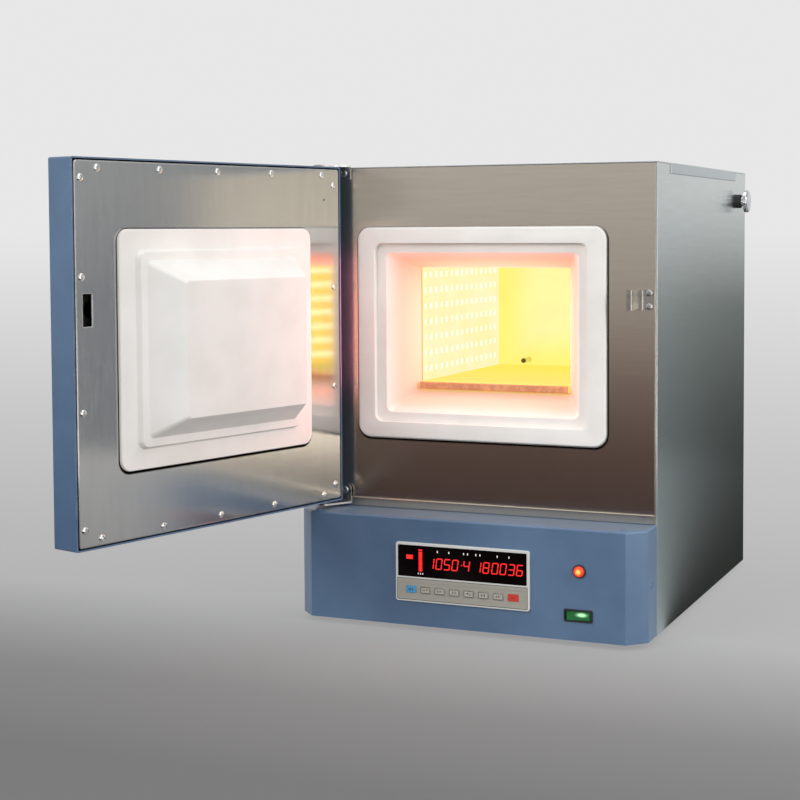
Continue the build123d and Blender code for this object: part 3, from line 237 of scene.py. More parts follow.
# %% Helpers for colours and materials
def linear(red, green, blue):
    """A colour as it looks on a screen, 0 to 255, turned into the light that it stands for."""
    light = []
    for part in (red, green, blue):
        part /= 255
        light.append(part / 12.92 if part <= 0.04045 else ((part + 0.055) / 1.055) ** 2.4)
    return (*light, 1.0)


def shaded(colour, share):
    """The same colour with less or more light in it."""
    return tuple(c * share for c in colour[:3]) + (1.0,)


def new_material(name, **plain):
    """A material with its Principled BSDF and the values that are the same all over."""
    material = bpy.data.materials.new(name)
    material.use_nodes = True
    recipe = Recipe(material.node_tree, material.node_tree.nodes["Principled BSDF"])
    for socket, value in plain.items():
        recipe.paint(socket.replace("_", " ").title().replace("Ior", "IOR"), value)
    return material, recipe


# %% [markdown]
# Some effects turn up on many finishes: edges rubbed bare, a brushed grain, mottled dust, the fine
# orange skin of powder paint, the pores of ceramic. Each becomes a node group with named inputs and
# outputs, built once. A group hands out only masks and heights, and the shader stays in the
# material, so that each finish can still decide what to do with them. The steel sheets use the
# edge mask not for wear but for a painted tone on their rims, near white on some, darker on the
# front.

# %% A helper that starts a group
def new_group(name, inputs, outputs):
    """An empty shader group with its named sockets, and its two ends."""
    tree = bpy.data.node_groups.new(name, "ShaderNodeTree")
    for label, default in inputs.items():
        kind = "NodeSocketVector" if isinstance(default, tuple) else "NodeSocketFloat"
        socket = tree.interface.new_socket(label, in_out="INPUT", socket_type=kind)
        socket.default_value = default
    for label in outputs:
        tree.interface.new_socket(label, in_out="OUTPUT", socket_type="NodeSocketFloat")
    recipe = Recipe(tree)
    return tree, recipe, recipe.add("NodeGroupInput").outputs, recipe.add("NodeGroupOutput").inputs


# %% Worn edges, and rims that get a painted tone
# The Bevel node bends the normal near an edge, so where it leaves the true normal is an edge.
edge_wear_and_painted_rims, r, inputs, outputs = new_group("edge wear", {"Width": 0.0012, "Amount": 1.0}, ["Mask"])
rounded = r.add("ShaderNodeBevel", samples=4)
r.feed(rounded.inputs["Radius"], inputs["Width"])
straight = r.add("ShaderNodeNewGeometry").outputs["Normal"]
alike = r.vector("DOT_PRODUCT", rounded.outputs[0], straight, "Value")
edges = r.ramp(r.math("SUBTRACT", 1.0, alike), 0.02, 0.16)
patches = r.ramp(r.noise(60.0, detail=4.0), 0.42, 0.62)
r.feed(outputs["Mask"], r.math("MULTIPLY", r.math("MULTIPLY", edges, patches), inputs["Amount"]))

# %% Brushed grain
# Noise that is squeezed along one axis and stretched along the others reads as brushing.
brushed_grain, r, inputs, outputs = new_group(
    "brushed grain", {"Scale": 90.0, "Stretch": (1.0, 1.0, 1.0)}, ["Height", "Streak"]
)
broad = r.math("MULTIPLY", inputs["Scale"], 0.23)
stretch = inputs["Stretch"]
r.feed(outputs["Height"], r.noise(inputs["Scale"], detail=6.0, roughness=0.7, stretch=stretch))
r.feed(outputs["Streak"], r.noise(broad, detail=2.0, stretch=stretch))

# %% Smudges and dust
handling, r, inputs, outputs = new_group("handling marks", {"Scale": 7.0}, ["Cloud", "Spots"])
r.feed(outputs["Cloud"], r.noise(inputs["Scale"], detail=5.0, roughness=0.6))
dots = r.noise(r.math("MULTIPLY", inputs["Scale"], 45.0), detail=1.0)
r.feed(outputs["Spots"], r.ramp(dots, 0.75, 0.8))

# %% Orange skin of powder paint
paint_skin, r, inputs, outputs = new_group("paint skin", {"Scale": 420.0}, ["Height", "Fleck"])
r.feed(outputs["Height"], r.noise(inputs["Scale"], detail=1.5))
r.feed(outputs["Fleck"], r.noise(r.math("MULTIPLY", inputs["Scale"], 3.0), detail=1.0))

# %% Ceramic pores and fibres
fibre_skin, r, inputs, outputs = new_group(
    "fibre skin", {"Scale": 240.0}, ["Height", "Pores", "Waves"]
)
fibres = r.noise(inputs["Scale"], detail=7.0, roughness=0.75, stretch=(1.0, 0.35, 1.0))
pores = r.cells(r.math("MULTIPLY", inputs["Scale"], 2.2))
r.feed(outputs["Height"], fibres)
r.feed(outputs["Pores"], r.ramp(pores, 0.05, 0.3))
r.feed(outputs["Waves"], r.noise(22.0, detail=2.0))
print("groups:", [tree.name for tree in bpy.data.node_groups])

# %% [markdown]
# The sheet metal is painted with blue powder. Powder melts into a skin that is never quite flat, so
# it gets a fine orange peel, flecks of slightly other blue and a clear gloss on top. Corners show a
# paler rub.

# %% Blue powder paint
blue_dark = linear(71, 97, 127)
blue_light = linear(90, 117, 148)
blue_rub = linear(140, 156, 176)
blue_paint, r = new_material(
    "blue powder paint", specular_ior_level=0.5, coat_weight=0.5, coat_roughness=0.24
)
skin = r.group(paint_skin)
marks = r.group(handling, Scale=5.0)
tone = r.mix(r.ramp(marks["Cloud"], 0.3, 0.7), blue_dark, blue_light)
tone = r.mix(r.math("MULTIPLY", r.ramp(skin["Fleck"], 0.55, 0.75), 0.3), tone, blue_light)
rubbed = r.group(edge_wear_and_painted_rims, Amount=0.55)["Mask"]
r.paint("Base Color", r.mix(rubbed, tone, blue_rub))
r.paint("Roughness", r.ramp(marks["Cloud"], 0.25, 0.8, 0.34, 0.46))
r.paint("Normal", r.bump(skin["Height"], 0.00004, 0.55))
print("made:", blue_paint.name)

# %% [markdown]
# Stainless sheet comes with a grain rolled or brushed into it. The grain blurs a reflection across
# it far more than along it, which is why the glowing rows in the door's mirror stay level bands. We
# give each sheet its grain's direction as a stretch, and the door's liner a mirror that is rough in
# one direction. A Bevel node rounds the folded rims, so that they catch a thin line of light. On
# the sides and the liner the rims are also painted near white, a painted highlight; on the front
# darker.
#
# The white pieces stand proud of the sheet, and a dark line of shadow shows round them, widest
# underneath. It could come from a modelled gap, but a line a millimetre wide is easier to steer as
# a
# colour, so the shadow is painted: we measure how far each point of the sheet lies from the piece's
# outline, moved down a little.

# %% Distance from an outline
def beside(r, low, high, corner, across=(1, 0, 0)):
    """How far a point of an upright sheet lies outside a box with round corners.

    The box is given as (across, unused, z), and across is the level direction of the sheet.
    """
    sideways = r.vector("DOT_PRODUCT", r.place(), across, "Value")
    beyond = []
    for place, value in ((0, sideways), (2, r.axis("Z"))):
        middle, half = (low[place] + high[place]) / 2, (high[place] - low[place]) / 2
        away = r.math("ABSOLUTE", r.math("SUBTRACT", value, middle))
        beyond.append(r.math("MAXIMUM", r.math("SUBTRACT", away, half - corner), 0.0))
    squares = [r.math("MULTIPLY", side, side) for side in beyond]
    return r.math("SUBTRACT", r.math("SQRT", r.math("ADD", *squares)), corner)


# %% A helper for stainless sheet
shadow_line_dark = linear(10, 6, 6)
shadow_line_inner, shadow_line_outer = 0.0014, 0.003


def stainless(
    name, tint, stretch, roughness, painted_edge_tone=(200, 200, 196), blur=0.0, round_rim=0.0011, shadow_frame=None
):
    """Sheet steel: its tint, its grain, how blurred it mirrors, its rims with their painted tone,
    and the box round which a shadow line is painted.
    """
    material, r = new_material(name, metallic=1.0, anisotropic=blur)
    grain = r.group(brushed_grain, Scale=95.0, Stretch=stretch)
    marks = r.group(handling, Scale=6.0)
    pale = linear(*tint)
    dull = shaded(pale, 0.96)
    tone = r.mix(r.ramp(grain["Streak"], 0.3, 0.7), pale, dull)
    tone = r.mix(r.math("MULTIPLY", r.ramp(marks["Cloud"], 0.45, 0.75), 0.35), tone, dull)
    edges = r.group(edge_wear_and_painted_rims, Width=0.0008, Amount=0.8)["Mask"]
    # The rims get a painted tone: near white on the sides and the liner, a painted highlight, and
    # darker on the front.
    tone = r.mix(edges, tone, linear(*painted_edge_tone))
    # A painted shadow line runs round the box where a white piece stands proud of the sheet.
    if shadow_frame:
        joint_shadow = r.ramp(beside(r, *shadow_frame), shadow_line_inner, shadow_line_outer, 1.0, 0.0)
        tone = r.mix(joint_shadow, tone, shadow_line_dark)
    r.paint("Base Color", tone)
    rough = r.ramp(grain["Height"], 0.25, 0.75, roughness - 0.012, roughness + 0.016)
    r.paint("Roughness", r.math("ADD", rough, r.math("MULTIPLY", marks["Spots"], 0.02)))
    rim = r.add("ShaderNodeBevel", samples=4)
    r.feed(rim.inputs["Radius"], round_rim)
    r.paint("Normal", r.bump(grain["Height"], 0.0000015, 0.3, rim.outputs[0]))
    return material


# %% Front, sides and cover
collar_corner = 0.014
# The collar's outline is moved down a little, so that its painted shadow line is widest underneath.
collar_shadow_drop = Vector((0.0005, 0, -0.0011))
front_steel = stainless(
    "front sheet", (208, 199, 185), (1.0, 1.0, 14.0), 0.2, painted_edge_tone=(128, 120, 112), round_rim=0.0002,
    shadow_frame=(*(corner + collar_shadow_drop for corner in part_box("collar")), collar_corner),
)
side_steel = stainless(
    "side sheet", (206, 211, 210), (1.0, 1.0, 12.0), 0.22, painted_edge_tone=(236, 238, 238), round_rim=0.0018
)
cover_steel = stainless("cover sheet", (197, 205, 206), (1.0, 16.0, 1.0), 0.3)
print("made:", [sheet.name for sheet in (front_steel, side_steel, cover_steel)])

# %% The door's liner
# The door stands open, so the outline of its plug, round which a shadow line is painted, is
# measured along the door.
door_swing = radians(105)
along_door = Vector((cos(door_swing), -sin(door_swing), 0))
plug = nodes["door_plug"]
plug_spots = [plug.matrix_world @ vert.co for vert in plug.data.vertices]
plug_spread = [(spot.dot(along_door), 0, spot.z) for spot in plug_spots]
plug_low, plug_high = (Vector(pick(part) for part in zip(*plug_spread)) for pick in (min, max))
plug_corner = 0.012
# The plug's outline is moved down and along the door, so that its painted shadow line is widest
# underneath.
plug_shadow_drop = Vector((-0.0012, 0, -0.0012))
liner_steel = stainless(
    "door liner sheet", (208, 208, 206), (6.0, 6.0, 0.6), 0.15, painted_edge_tone=(244, 244, 242), blur=0.9,
    round_rim=0.0022, shadow_frame=(plug_low + plug_shadow_drop, plug_high + plug_shadow_drop, plug_corner, along_door),
)
print(f"plug {plug_high.x - plug_low.x:.4f} wide, {plug_high.z - plug_low.z:.4f} high")

# %% [markdown]
# The other metals are plainer. Zinc-coated sheet shows its crystals, plated hinges and polished
# screws are bright, the knob is chrome, and the heat sink is bare aluminium. One helper makes the
# small bright parts, because they differ only in tint, gloss and the size of their smudges.

# %% Zinc-coated sheet
zinc_sheet, r = new_material("zinc sheet", metallic=1.0)
spangle = r.cells(70.0, "SMOOTH_F1")
zinc_tone = r.mix(r.ramp(spangle, 0.1, 0.7), linear(176, 180, 182), linear(140, 146, 150))
r.paint("Base Color", zinc_tone)
r.paint("Roughness", r.ramp(spangle, 0.1, 0.7, 0.34, 0.48))
print("made:", zinc_sheet.name)


# %% Plated steel, chrome, aluminium
def bright_metal(name, tint, low, high, scale=150.0):
    """A small metal part whose gloss and tint wander a little."""
    material, r = new_material(name, metallic=1.0)
    marks = r.group(handling, Scale=scale)
    tone = linear(*tint)
    worn = shaded(tone, 0.75)
    edges = r.group(edge_wear_and_painted_rims, Width=0.0005, Amount=0.6)["Mask"]
    blotch = r.mix(r.ramp(marks["Cloud"], 0.4, 0.75), tone, worn)
    r.paint("Base Color", r.mix(edges, blotch, linear(235, 235, 232)))
    r.paint("Roughness", r.ramp(marks["Cloud"], 0.3, 0.7, low, high))
    r.paint("Normal", r.bump(marks["Cloud"], 0.00002, 0.3))
    return material


plated_steel = bright_metal("plated steel", (196, 197, 194), 0.2, 0.34)
polished_steel = bright_metal("polished screw steel", (240, 240, 238), 0.12, 0.2)
chrome = bright_metal("chrome", (214, 216, 218), 0.07, 0.14, scale=40.0)
aluminium = bright_metal("aluminium", (200, 203, 207), 0.3, 0.42, scale=60.0)
# The catch's steel is a darker copy of the plated steel: painted shade for the dark parts between
# its pieces.
catch_steel_shaded = bright_metal("catch steel", (182, 179, 172), 0.14, 0.28, scale=90.0)
black_steel = bright_metal("blackened steel", (42, 42, 44), 0.4, 0.5)
print("made:", plated_steel.name, "and five like it")

# %% [markdown]
# The white parts are vacuum-formed ceramic fibre: chalky, slightly uneven, full of tiny pores. Near
# the heat it glows by itself. A glow is emission that rises with the depth behind the front of the
# collar, so the light follows the mouth whichever side we look from.

# %% Where the chamber is
panel_low, panel_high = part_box("left_heater_panel")
hearth_low, hearth_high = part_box("hearth_plate")
chamber_left = panel_high.x
chamber_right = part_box("right_heater_panel")[0].x
chamber_front = panel_low.y
chamber_rear = panel_high.y
collar_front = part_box("collar")[0].y
roof_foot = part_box("roof_board")[0].z
print(f"chamber {chamber_right - chamber_left:.3f} wide, {chamber_rear - chamber_front:.3f} deep")

# %% Ceramic fibre
fibre_white = linear(240, 238, 234)
fibre_grey = linear(234, 232, 227)


def ceramic_fibre(name, glow=None, chamber_light_tint=None):
    """White fibre. A glow is (axis, cold place, hot place, colour, strength).

    A chamber_light_tint is (axis, cold place, hot place, colour): the chamber's pink light painted
    into the white.
    """
    material, r = new_material(name, roughness=0.9, specular_ior_level=0.15, sheen_weight=0.08)
    skin = r.group(fibre_skin)
    tone = r.mix(r.ramp(skin["Waves"], 0.35, 0.7), fibre_white, fibre_grey)
    # The pores are darker: painted shade in holes that the surface doesn't have.
    tone = r.mix(r.ramp(skin["Pores"], 0.0, 1.0, 0.1, 0.0), tone, linear(176, 171, 162))
    if chamber_light_tint:
        axis, cold, hot, colour = chamber_light_tint
        tone = r.mix(r.ramp(r.axis(axis), cold, hot), tone, linear(*colour))
    r.paint("Base Color", tone)
    waves = r.bump(skin["Waves"], 0.0002, 0.1)
    r.paint("Normal", r.bump(skin["Height"], 0.00008, 0.4, waves))
    if glow:
        axis, cold, hot, colour, strength = glow
        heat = r.ramp(r.axis(axis), cold, hot)
        flicker = r.ramp(skin["Waves"], 0.2, 0.8, 0.85, 1.1)
        r.paint("Emission Color", r.mix(heat, (0, 0, 0, 1), linear(*colour)))
        r.paint("Emission Strength", r.math("MULTIPLY", flicker, strength))
    return material


plain_fibre = ceramic_fibre("ceramic fibre")
collar_fibre = ceramic_fibre(
    "collar fibre",
    glow=("Y", collar_front + 0.012, chamber_front, (235, 96, 70), 0.12),
    # The pink that deepens into the mouth is the chamber's light, painted into the white.
    chamber_light_tint=("Y", collar_front + 0.004, collar_front + 0.03, (236, 210, 194)),
)

# %% [markdown]
# Inside, everything radiates. The rear wall is a soft yellow, deeper in the corners. The side
# panels are pale yellow with white-hot windows, and the wires behind them are whiter still. The
# hearth is yellow on top, and its front edge, out in the cool, is brick. Real heat is far brighter
# than a picture can hold, so the panels keep their true strength for mirrors alone: Light Path
# tells a mirror's ray from the camera's, and the bands in the door's liner come out white and gold.

# %% The glowing rear wall and roof
hot_yellow = linear(252, 250, 172)
deep_yellow = linear(252, 244, 116)
rear_glow, r = new_material("glowing rear wall", roughness=0.9, specular_ior_level=0.1)
skin = r.group(fibre_skin, Scale=160.0)
sideways = r.ramp(r.axis("X"), chamber_left, chamber_left + 0.06, 0.95, 0.0)
low_down = r.ramp(r.axis("Z"), hearth_high.z, hearth_high.z + 0.05, 0.9, 0.0)
corner = r.math("MAXIMUM", sideways, low_down)
board_tone = r.mix(r.ramp(skin["Waves"], 0.3, 0.7), linear(120, 112, 84), linear(108, 98, 70))
r.paint("Base Color", board_tone)
r.paint("Emission Color", r.mix(corner, hot_yellow, deep_yellow))
glow_depth = r.ramp(r.axis("Y"), chamber_rear + 0.0005, chamber_rear + 0.004, 0.86, 0.0)
r.paint("Emission Strength", glow_depth)
r.paint("Normal", r.bump(skin["Height"], 0.0002, 0.4))

roof_glow = ceramic_fibre(
    "glowing roof", ("Z", roof_foot + 0.004, roof_foot, (250, 214, 120), 0.7)
)
print("made:", rear_glow.name, "and", roof_glow.name)

# %% Glowing heater panels
heater_refractory, r = new_material("glowing heater panel", roughness=0.85, specular_ior_level=0.1)
skin = r.group(fibre_skin, Scale=180.0)
window_edge, window_depth = 0.0004, 0.0024
depth = r.math("SUBTRACT", r.math("ABSOLUTE", r.axis("X")), chamber_right)
behind = r.ramp(depth, window_edge, window_depth)
cool_front = r.ramp(r.axis("Y"), chamber_front, chamber_front + 0.03, 0.35, 0.0)
face = r.mix(r.ramp(skin["Waves"], 0.3, 0.75), linear(253, 251, 206), linear(252, 248, 186))
face = r.mix(cool_front, face, linear(250, 236, 150))
# A thin painted shadow dims the glow where the panel meets the collar.
joint_shadow = r.ramp(r.axis("Y"), chamber_front + 0.002, chamber_front + 0.0042, 0.8, 0.0)
face = r.mix(joint_shadow, face, linear(168, 112, 60))
r.paint("Base Color", r.mix(skin["Waves"], linear(118, 108, 80), linear(104, 92, 66)))
mirrored = r.add("ShaderNodeLightPath").outputs["Is Glossy Ray"]
face = r.mix(mirrored, face, linear(255, 206, 48))
r.paint("Emission Color", r.mix(behind, face, linear(255, 255, 240)))
plain = r.ramp(behind, 0.0, 1.0, 0.84, 1.12)
strong = r.ramp(behind, 0.0, 1.0, 1.5, 5.0)
r.paint("Emission Strength", r.ramp(mirrored, 0.0, 1.0, plain, strong))
r.paint("Normal", r.bump(skin["Height"], 0.0002, 0.4))

white_hot, r = new_material("white-hot wire", roughness=0.6, base_color=linear(120, 104, 90))
scale = r.noise(160.0, detail=3.0)
r.paint("Emission Color", r.mix(scale, linear(255, 252, 225), linear(255, 240, 190)))
wire_depth = r.ramp(r.axis("Y"), chamber_rear, chamber_rear + 0.03, 1.3, 0.0)
r.paint("Emission Strength", wire_depth)
print("made:", heater_refractory.name, "and", white_hot.name)

# %% The hearth
brick, r = new_material("hearth brick", roughness=0.85, specular_ior_level=0.2)
skin = r.group(fibre_skin, Scale=110.0)
cracks = r.noise(130.0, detail=8.0, roughness=0.8)
brick_tone = r.mix(r.ramp(cracks, 0.42, 0.6), linear(204, 146, 110), linear(226, 168, 128))
# The pores are darker too, a painted shade in them.
brick_tone = r.mix(r.ramp(skin["Pores"], 0.0, 1.0, 0.35, 0.0), brick_tone, linear(150, 84, 56))
hot = r.ramp(r.axis("Y"), hearth_low.y + 0.0006, hearth_low.y + 0.0035)
r.paint("Base Color", r.mix(hot, brick_tone, linear(110, 84, 40)))
back = r.ramp(r.axis("Y"), hearth_low.y, hearth_high.y, 0.2, 1.0)
hearth_top = r.mix(back, linear(252, 236, 128), linear(252, 240, 96))
r.paint("Emission Color", r.mix(hot, linear(150, 84, 44), hearth_top))
r.paint("Emission Strength", r.ramp(hot, 0.0, 1.0, 0.12, 0.8))
r.paint("Normal", r.bump(cracks, 0.0005, 0.7))
print("made:", brick.name)

# %% Terminals and the thermocouple's sheath
fired_ceramic = ceramic_fibre(
    "fired ceramic", ("Y", chamber_rear + 0.012, chamber_rear - 0.004, (236, 214, 60), 0.55)
)
sheath_alloy, r = new_material("scaled alloy sheath", roughness=0.7)
scale = r.noise(260.0, detail=5.0)
sheath_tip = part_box("thermocouple")[0].y
hot = r.ramp(r.axis("Y"), sheath_tip + 0.002, sheath_tip + 0.006)
r.paint("Base Color", r.mix(scale, linear(60, 48, 26), linear(34, 28, 18)))
r.paint("Emission Color", r.mix(hot, linear(84, 60, 14), linear(246, 226, 96)))
sheath_depth = r.ramp(r.axis("Y"), chamber_rear + 0.001, chamber_rear + 0.006, 0.8, 0.0)
r.paint("Emission Strength", sheath_depth)
print("made:", fired_ceramic.name, "and", sheath_alloy.name)

# %% [markdown]
# Plastics differ mostly in their gloss and grain. The controller's frame is moulded in silver grey
# with a tan field printed round the keys, the bushes and the handle are black with a spark-eroded
# texture, and the keys are a flexible film. The field could be a piece of its own, but it is only
# ink, so it is a colour that ends at a box, with a fine groove along the border that is darkened
# with painted shade.

# %% A helper for moulded parts
def moulded(name, tint, low, high, grain=900.0, depth=0.00002, **plain):
    """A moulded part: a fine grain, a gloss that wanders and edges polished by hands."""
    material, r = new_material(name, **plain)
    marks = r.group(handling, Scale=25.0)
    texture = r.noise(grain, detail=2.0)
    tone = linear(*tint)
    lighter = tuple(min(1.0, c * 1.25 + 0.01) for c in tone[:3]) + (1.0,)
    edges = r.group(edge_wear_and_painted_rims, Width=0.0006, Amount=0.5)["Mask"]
    body = r.mix(r.math("MULTIPLY", r.ramp(marks["Cloud"], 0.3, 0.8), 0.4), tone, lighter)
    r.paint("Base Color", r.mix(edges, body, lighter))
    r.paint("Roughness", r.ramp(marks["Cloud"], 0.3, 0.7, low, high))
    r.paint("Normal", r.bump(texture, depth, 0.5))
    return material


# %% The controller's frame
case_low, case_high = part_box("controller_case")
window_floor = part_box("display_window")[0].z


def keypad_frame():
    """The controller's silver frame with the tan field printed on it, where the keys sit."""
    material, r = new_material("controller frame plastic", specular_ior_level=0.5)
    border, groove = 0.0022, 0.0005
    field_low = Vector((case_low.x + border, 0, case_low.z + border))
    field_high = Vector((case_high.x - border, 0, window_floor - border))
    outside = beside(r, field_low, field_high, 0.0006)
    marks = r.group(handling, Scale=25.0)
    silver = r.mix(marks["Cloud"], linear(212, 213, 210), linear(198, 199, 196))
    tan = r.mix(marks["Cloud"], linear(166, 163, 153), linear(154, 151, 141))
    tone = r.mix(r.ramp(outside, 0.0, 0.00015), tan, silver)
    # The groove is a dark line, painted shade in it, with a small bump.
    line = r.ramp(r.math("ABSOLUTE", outside), groove * 0.5, groove, 1.0, 0.0)
    r.paint("Base Color", r.mix(line, tone, linear(96, 93, 88)))
    r.paint("Roughness", r.ramp(marks["Cloud"], 0.3, 0.7, 0.36, 0.5))
    r.paint("Normal", r.bump(r.math("SUBTRACT", 1.0, line), 0.0002, 0.5))
    return material


frame_plastic = keypad_frame()
print(f"printed field up to z {window_floor:.4f} m")

# %% Plastics, rubber and the dark window
black_plastic = moulded("black plastic", (26, 26, 28), 0.35, 0.5)
dark_wool = moulded("dark mineral wool", (40, 37, 33), 0.85, 0.95, grain=260.0, depth=0.0004)
gland_plastic = moulded("gland plastic", (32, 32, 34), 0.45, 0.6)
key_grey = moulded("grey key film", (168, 165, 155), 0.42, 0.55)
key_blue = moulded("blue key film", (74, 148, 190), 0.42, 0.55)
key_red = moulded("red key film", (196, 56, 42), 0.42, 0.55)
key_line = moulded("key outline print", (66, 64, 62), 0.5, 0.6)
foot_rubber = moulded("foot rubber", (34, 34, 34), 0.7, 0.85, grain=300.0, depth=0.0001)
dark_window = moulded(
    "dark display window", (7, 1, 2), 0.1, 0.18, grain=60.0, depth=0.000005, specular_ior_level=0.06
)
print("made:", black_plastic.name, "and eight others")

# %% [markdown]
# Three things on the switch panel are lit: the red figures, the orange pilot lamp and the green
# rocker. Small bulbs could sit behind clear caps, but they cost long renders for a few pixels.
# Emission does it as well: even over the figures, and in the caps strongest where the bulb would
# sit, falling off to the rim over the fine facets that are moulded into such lenses. On the rocker
# the bright spot sits up and to the right, so it is partly a painted highlight.

# %% Lit digits and white print
led_red, r = new_material("lit red digits", roughness=0.4, base_color=linear(90, 6, 8))
glow = r.noise(500.0, detail=1.0)
glow_tone = r.mix(r.ramp(glow, 0.35, 0.65), linear(255, 22, 26), linear(255, 48, 42))
r.paint("Emission Color", glow_tone)
r.paint("Emission Strength", 1.05)

white_print_painted_glow, r = new_material("printed white", roughness=0.5)
ink = r.noise(800.0)
r.paint("Base Color", r.mix(ink, linear(225, 225, 222), linear(205, 205, 204)))
# The print also shines by itself, a painted glow that keeps it pale on the dark window.
r.paint("Emission Color", r.mix(ink, linear(190, 188, 186), linear(170, 170, 168)))
r.paint("Emission Strength", 0.55)
print("made:", led_red.name, "and", white_print_painted_glow.name)


# %% The two lamps of the switch panel
def lit_lens(name, node, edge, core, strength, shift=(0, 0, 0), spread=0.8, stretch=(1, 1, 1)):
    """A lamp's cap: bright where the bulb sits behind it, darker to the rim."""
    low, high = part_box(node)
    centre = (low + high) / 2 + Vector(shift)
    reach = (high.z - low.z) / 2 * spread
    material, r = new_material(name, roughness=0.18, coat_weight=0.6, coat_roughness=0.06)
    apart = r.vector("MULTIPLY", r.vector("SUBTRACT", r.place(), centre), stretch)
    spot = r.ramp(r.vector("LENGTH", apart, result="Value"), reach * 1.1, reach * 0.1)
    facets = r.cells(520.0)
    rim = linear(*edge)
    r.paint("Base Color", r.mix(facets, rim, shaded(rim, 0.6)))
    r.paint("Emission Color", r.mix(spot, rim, linear(*core)))
    r.paint("Emission Strength", r.ramp(spot, 0.0, 1.0, strength * 0.45, strength))
    r.paint("Normal", r.bump(facets, 0.0002, 0.4))
    return material


pilot_glow = lit_lens(
    "lit orange lens", "pilot_lens", (212, 48, 12), (255, 204, 96), 1.45,
    spread=0.75, stretch=(1, 0, 1),
)
# The rocker's spot is moved up and to the right, where it also stands for a painted highlight.
rocker_glow = lit_lens(
    "lit green rocker", "rocker_button", (6, 84, 32), (190, 255, 196), 1.3,
    shift=(0.004, 0, 0.0012), spread=0.95, stretch=(0.5, 0, 1.3),
)
print("made:", pilot_glow.name, "and", rocker_glow.name)

# %% [markdown]
# Now each CAD node gets its finish. The list is kept by finish, as a workshop would sort the parts
# into trays before painting.

# %% Hand out the finishes
trays = {
    blue_paint: ["base_front_cover", "door_shell"],
    front_steel: ["front_panel"],
    side_steel: ["left_side_panel", "right_side_panel", "rear_panel"],
    cover_steel: ["top_cover", "flue_tube"],
    liner_steel: ["door_liner"],
    catch_steel_shaded: ["keeper"],
    zinc_sheet: ["base_pan", "inner_casing", "bay_shelf"],
    plated_steel: [
        "upper_hinge_bracket", "lower_hinge_bracket", "front_screws", "cover_screws",
        "liner_screws", "damper_flap",
    ],
    black_steel: ["latch_cam"],
    chrome: ["damper_knob"],
    aluminium: ["heat_sink"],
    plain_fibre: [
        "floor_board", "left_side_board", "right_side_board", "front_board", "door_plug",
    ],
    collar_fibre: ["collar"],
    rear_glow: ["rear_board"],
    roof_glow: ["roof_board"],
    heater_refractory: ["left_heater_panel", "right_heater_panel"],
    white_hot: ["left_heating_element", "right_heating_element"],
    brick: ["hearth_plate"],
    fired_ceramic: ["element_terminals"],
    sheath_alloy: ["thermocouple"],
    foot_rubber: ["rubber_feet"],
    frame_plastic: ["controller_case"],
    dark_window: ["display_window"],
    black_plastic: [
        "rocker_bezel", "pilot_bezel", "damper_bush", "hinge_bushes", "latch_bush", "latch_handle",
        "solid_state_relay", "terminal_block",
    ],
    dark_wool: ["door_insulation"],
    gland_plastic: ["mains_gland"],
    rocker_glow: ["rocker_button"],
    pilot_glow: ["pilot_lens"],
    key_blue: ["key_1"],
    key_grey: [f"key_{number}" for number in range(2, 8)],
    key_red: ["key_8"],
}
dressed = set()
for finish, names in trays.items():
    for name in names:
        nodes[name].data.materials.clear()
        nodes[name].data.materials.append(finish)
        dressed.add(name)
print(len(trays), "finishes handed out, nodes left without:", sorted(set(nodes) - dressed))

# %% [markdown]
# The screws are drawn in CAD as plain heads. A real one is a flat dome with a cross driven into it.
# We make one screw by spinning its outline, cut the cross with a Boolean, and read from the CAD
# solids where each screw sits and which way it faces: a screw's points lie in only a few rings when
# they are measured along its own axis. The liner's screws are polished, the front's are plated, and
# those that hold the blue base cover were painted with it.

# %% Spin the screw
screw_reach = 0.006
head_radius = 0.0037
head_height = 0.0014
cross_span = 0.0042
cross_depth = 0.0011


def screw_outline(mesh):
    """Half of the screw's outline, from the tip of its shank up over the dome."""
    shank, point = 0.002, 0.0006
    points = [
        (0, -screw_reach), (shank * 0.8, -screw_reach), (shank, -screw_reach + point), (shank, 0),
        (head_radius, 0), (head_radius, 0.0004), (head_radius * 0.93, 0.0008),
        (head_radius * 0.78, 0.0011), (head_radius * 0.5, 0.00133), (0, head_height),
    ]
    corners = [mesh.verts.new((x, 0, z)) for x, z in points]
    return [mesh.edges.new(pair) for pair in zip(corners, corners[1:])]


turned = bmesh.new()
outline = screw_outline(turned)
bmesh.ops.spin(
    turned, geom=outline + turned.verts[:], cent=(0, 0, 0), axis=(0, 0, 1), angle=radians(360),
    steps=20, use_merge=True,
)
bmesh.ops.remove_doubles(turned, verts=turned.verts, dist=1e-6)
bmesh.ops.recalc_face_normals(turned, faces=turned.faces)
print("spun screw:", len(turned.faces), "faces")

# %% Shape the cross
# A grid of three by three loses its corners, its arms are drawn in, and it narrows as it sinks.
cross = bmesh.new()
bmesh.ops.create_grid(cross, x_segments=3, y_segments=3, size=cross_span / 2)
middles = {face: face.calc_center_median() for face in cross.faces}
corners = [face for face, spot in middles.items() if min(abs(spot.x), abs(spot.y)) > cross_span / 8]
bmesh.ops.delete(cross, geom=corners, context="FACES")
narrow = cross_span / 7
for vert in cross.verts:
    for axis in (0, 1):
        if abs(vert.co[axis]) < cross_span / 3:
            vert.co[axis] = narrow if vert.co[axis] > 0 else -narrow
above_head = 0.0004
bmesh.ops.translate(cross, verts=cross.verts, vec=(0, 0, head_height + above_head))
sunk = only(BMVert, bmesh.ops.extrude_face_region(cross, geom=cross.faces[:])["geom"])
bmesh.ops.translate(cross, verts=sunk, vec=(0, 0, -cross_depth - above_head))
bmesh.ops.scale(cross, verts=sunk, vec=(0.62, 0.62, 1))
bmesh.ops.recalc_face_normals(cross, faces=cross.faces)
print("cross:", len(cross.faces), "faces")


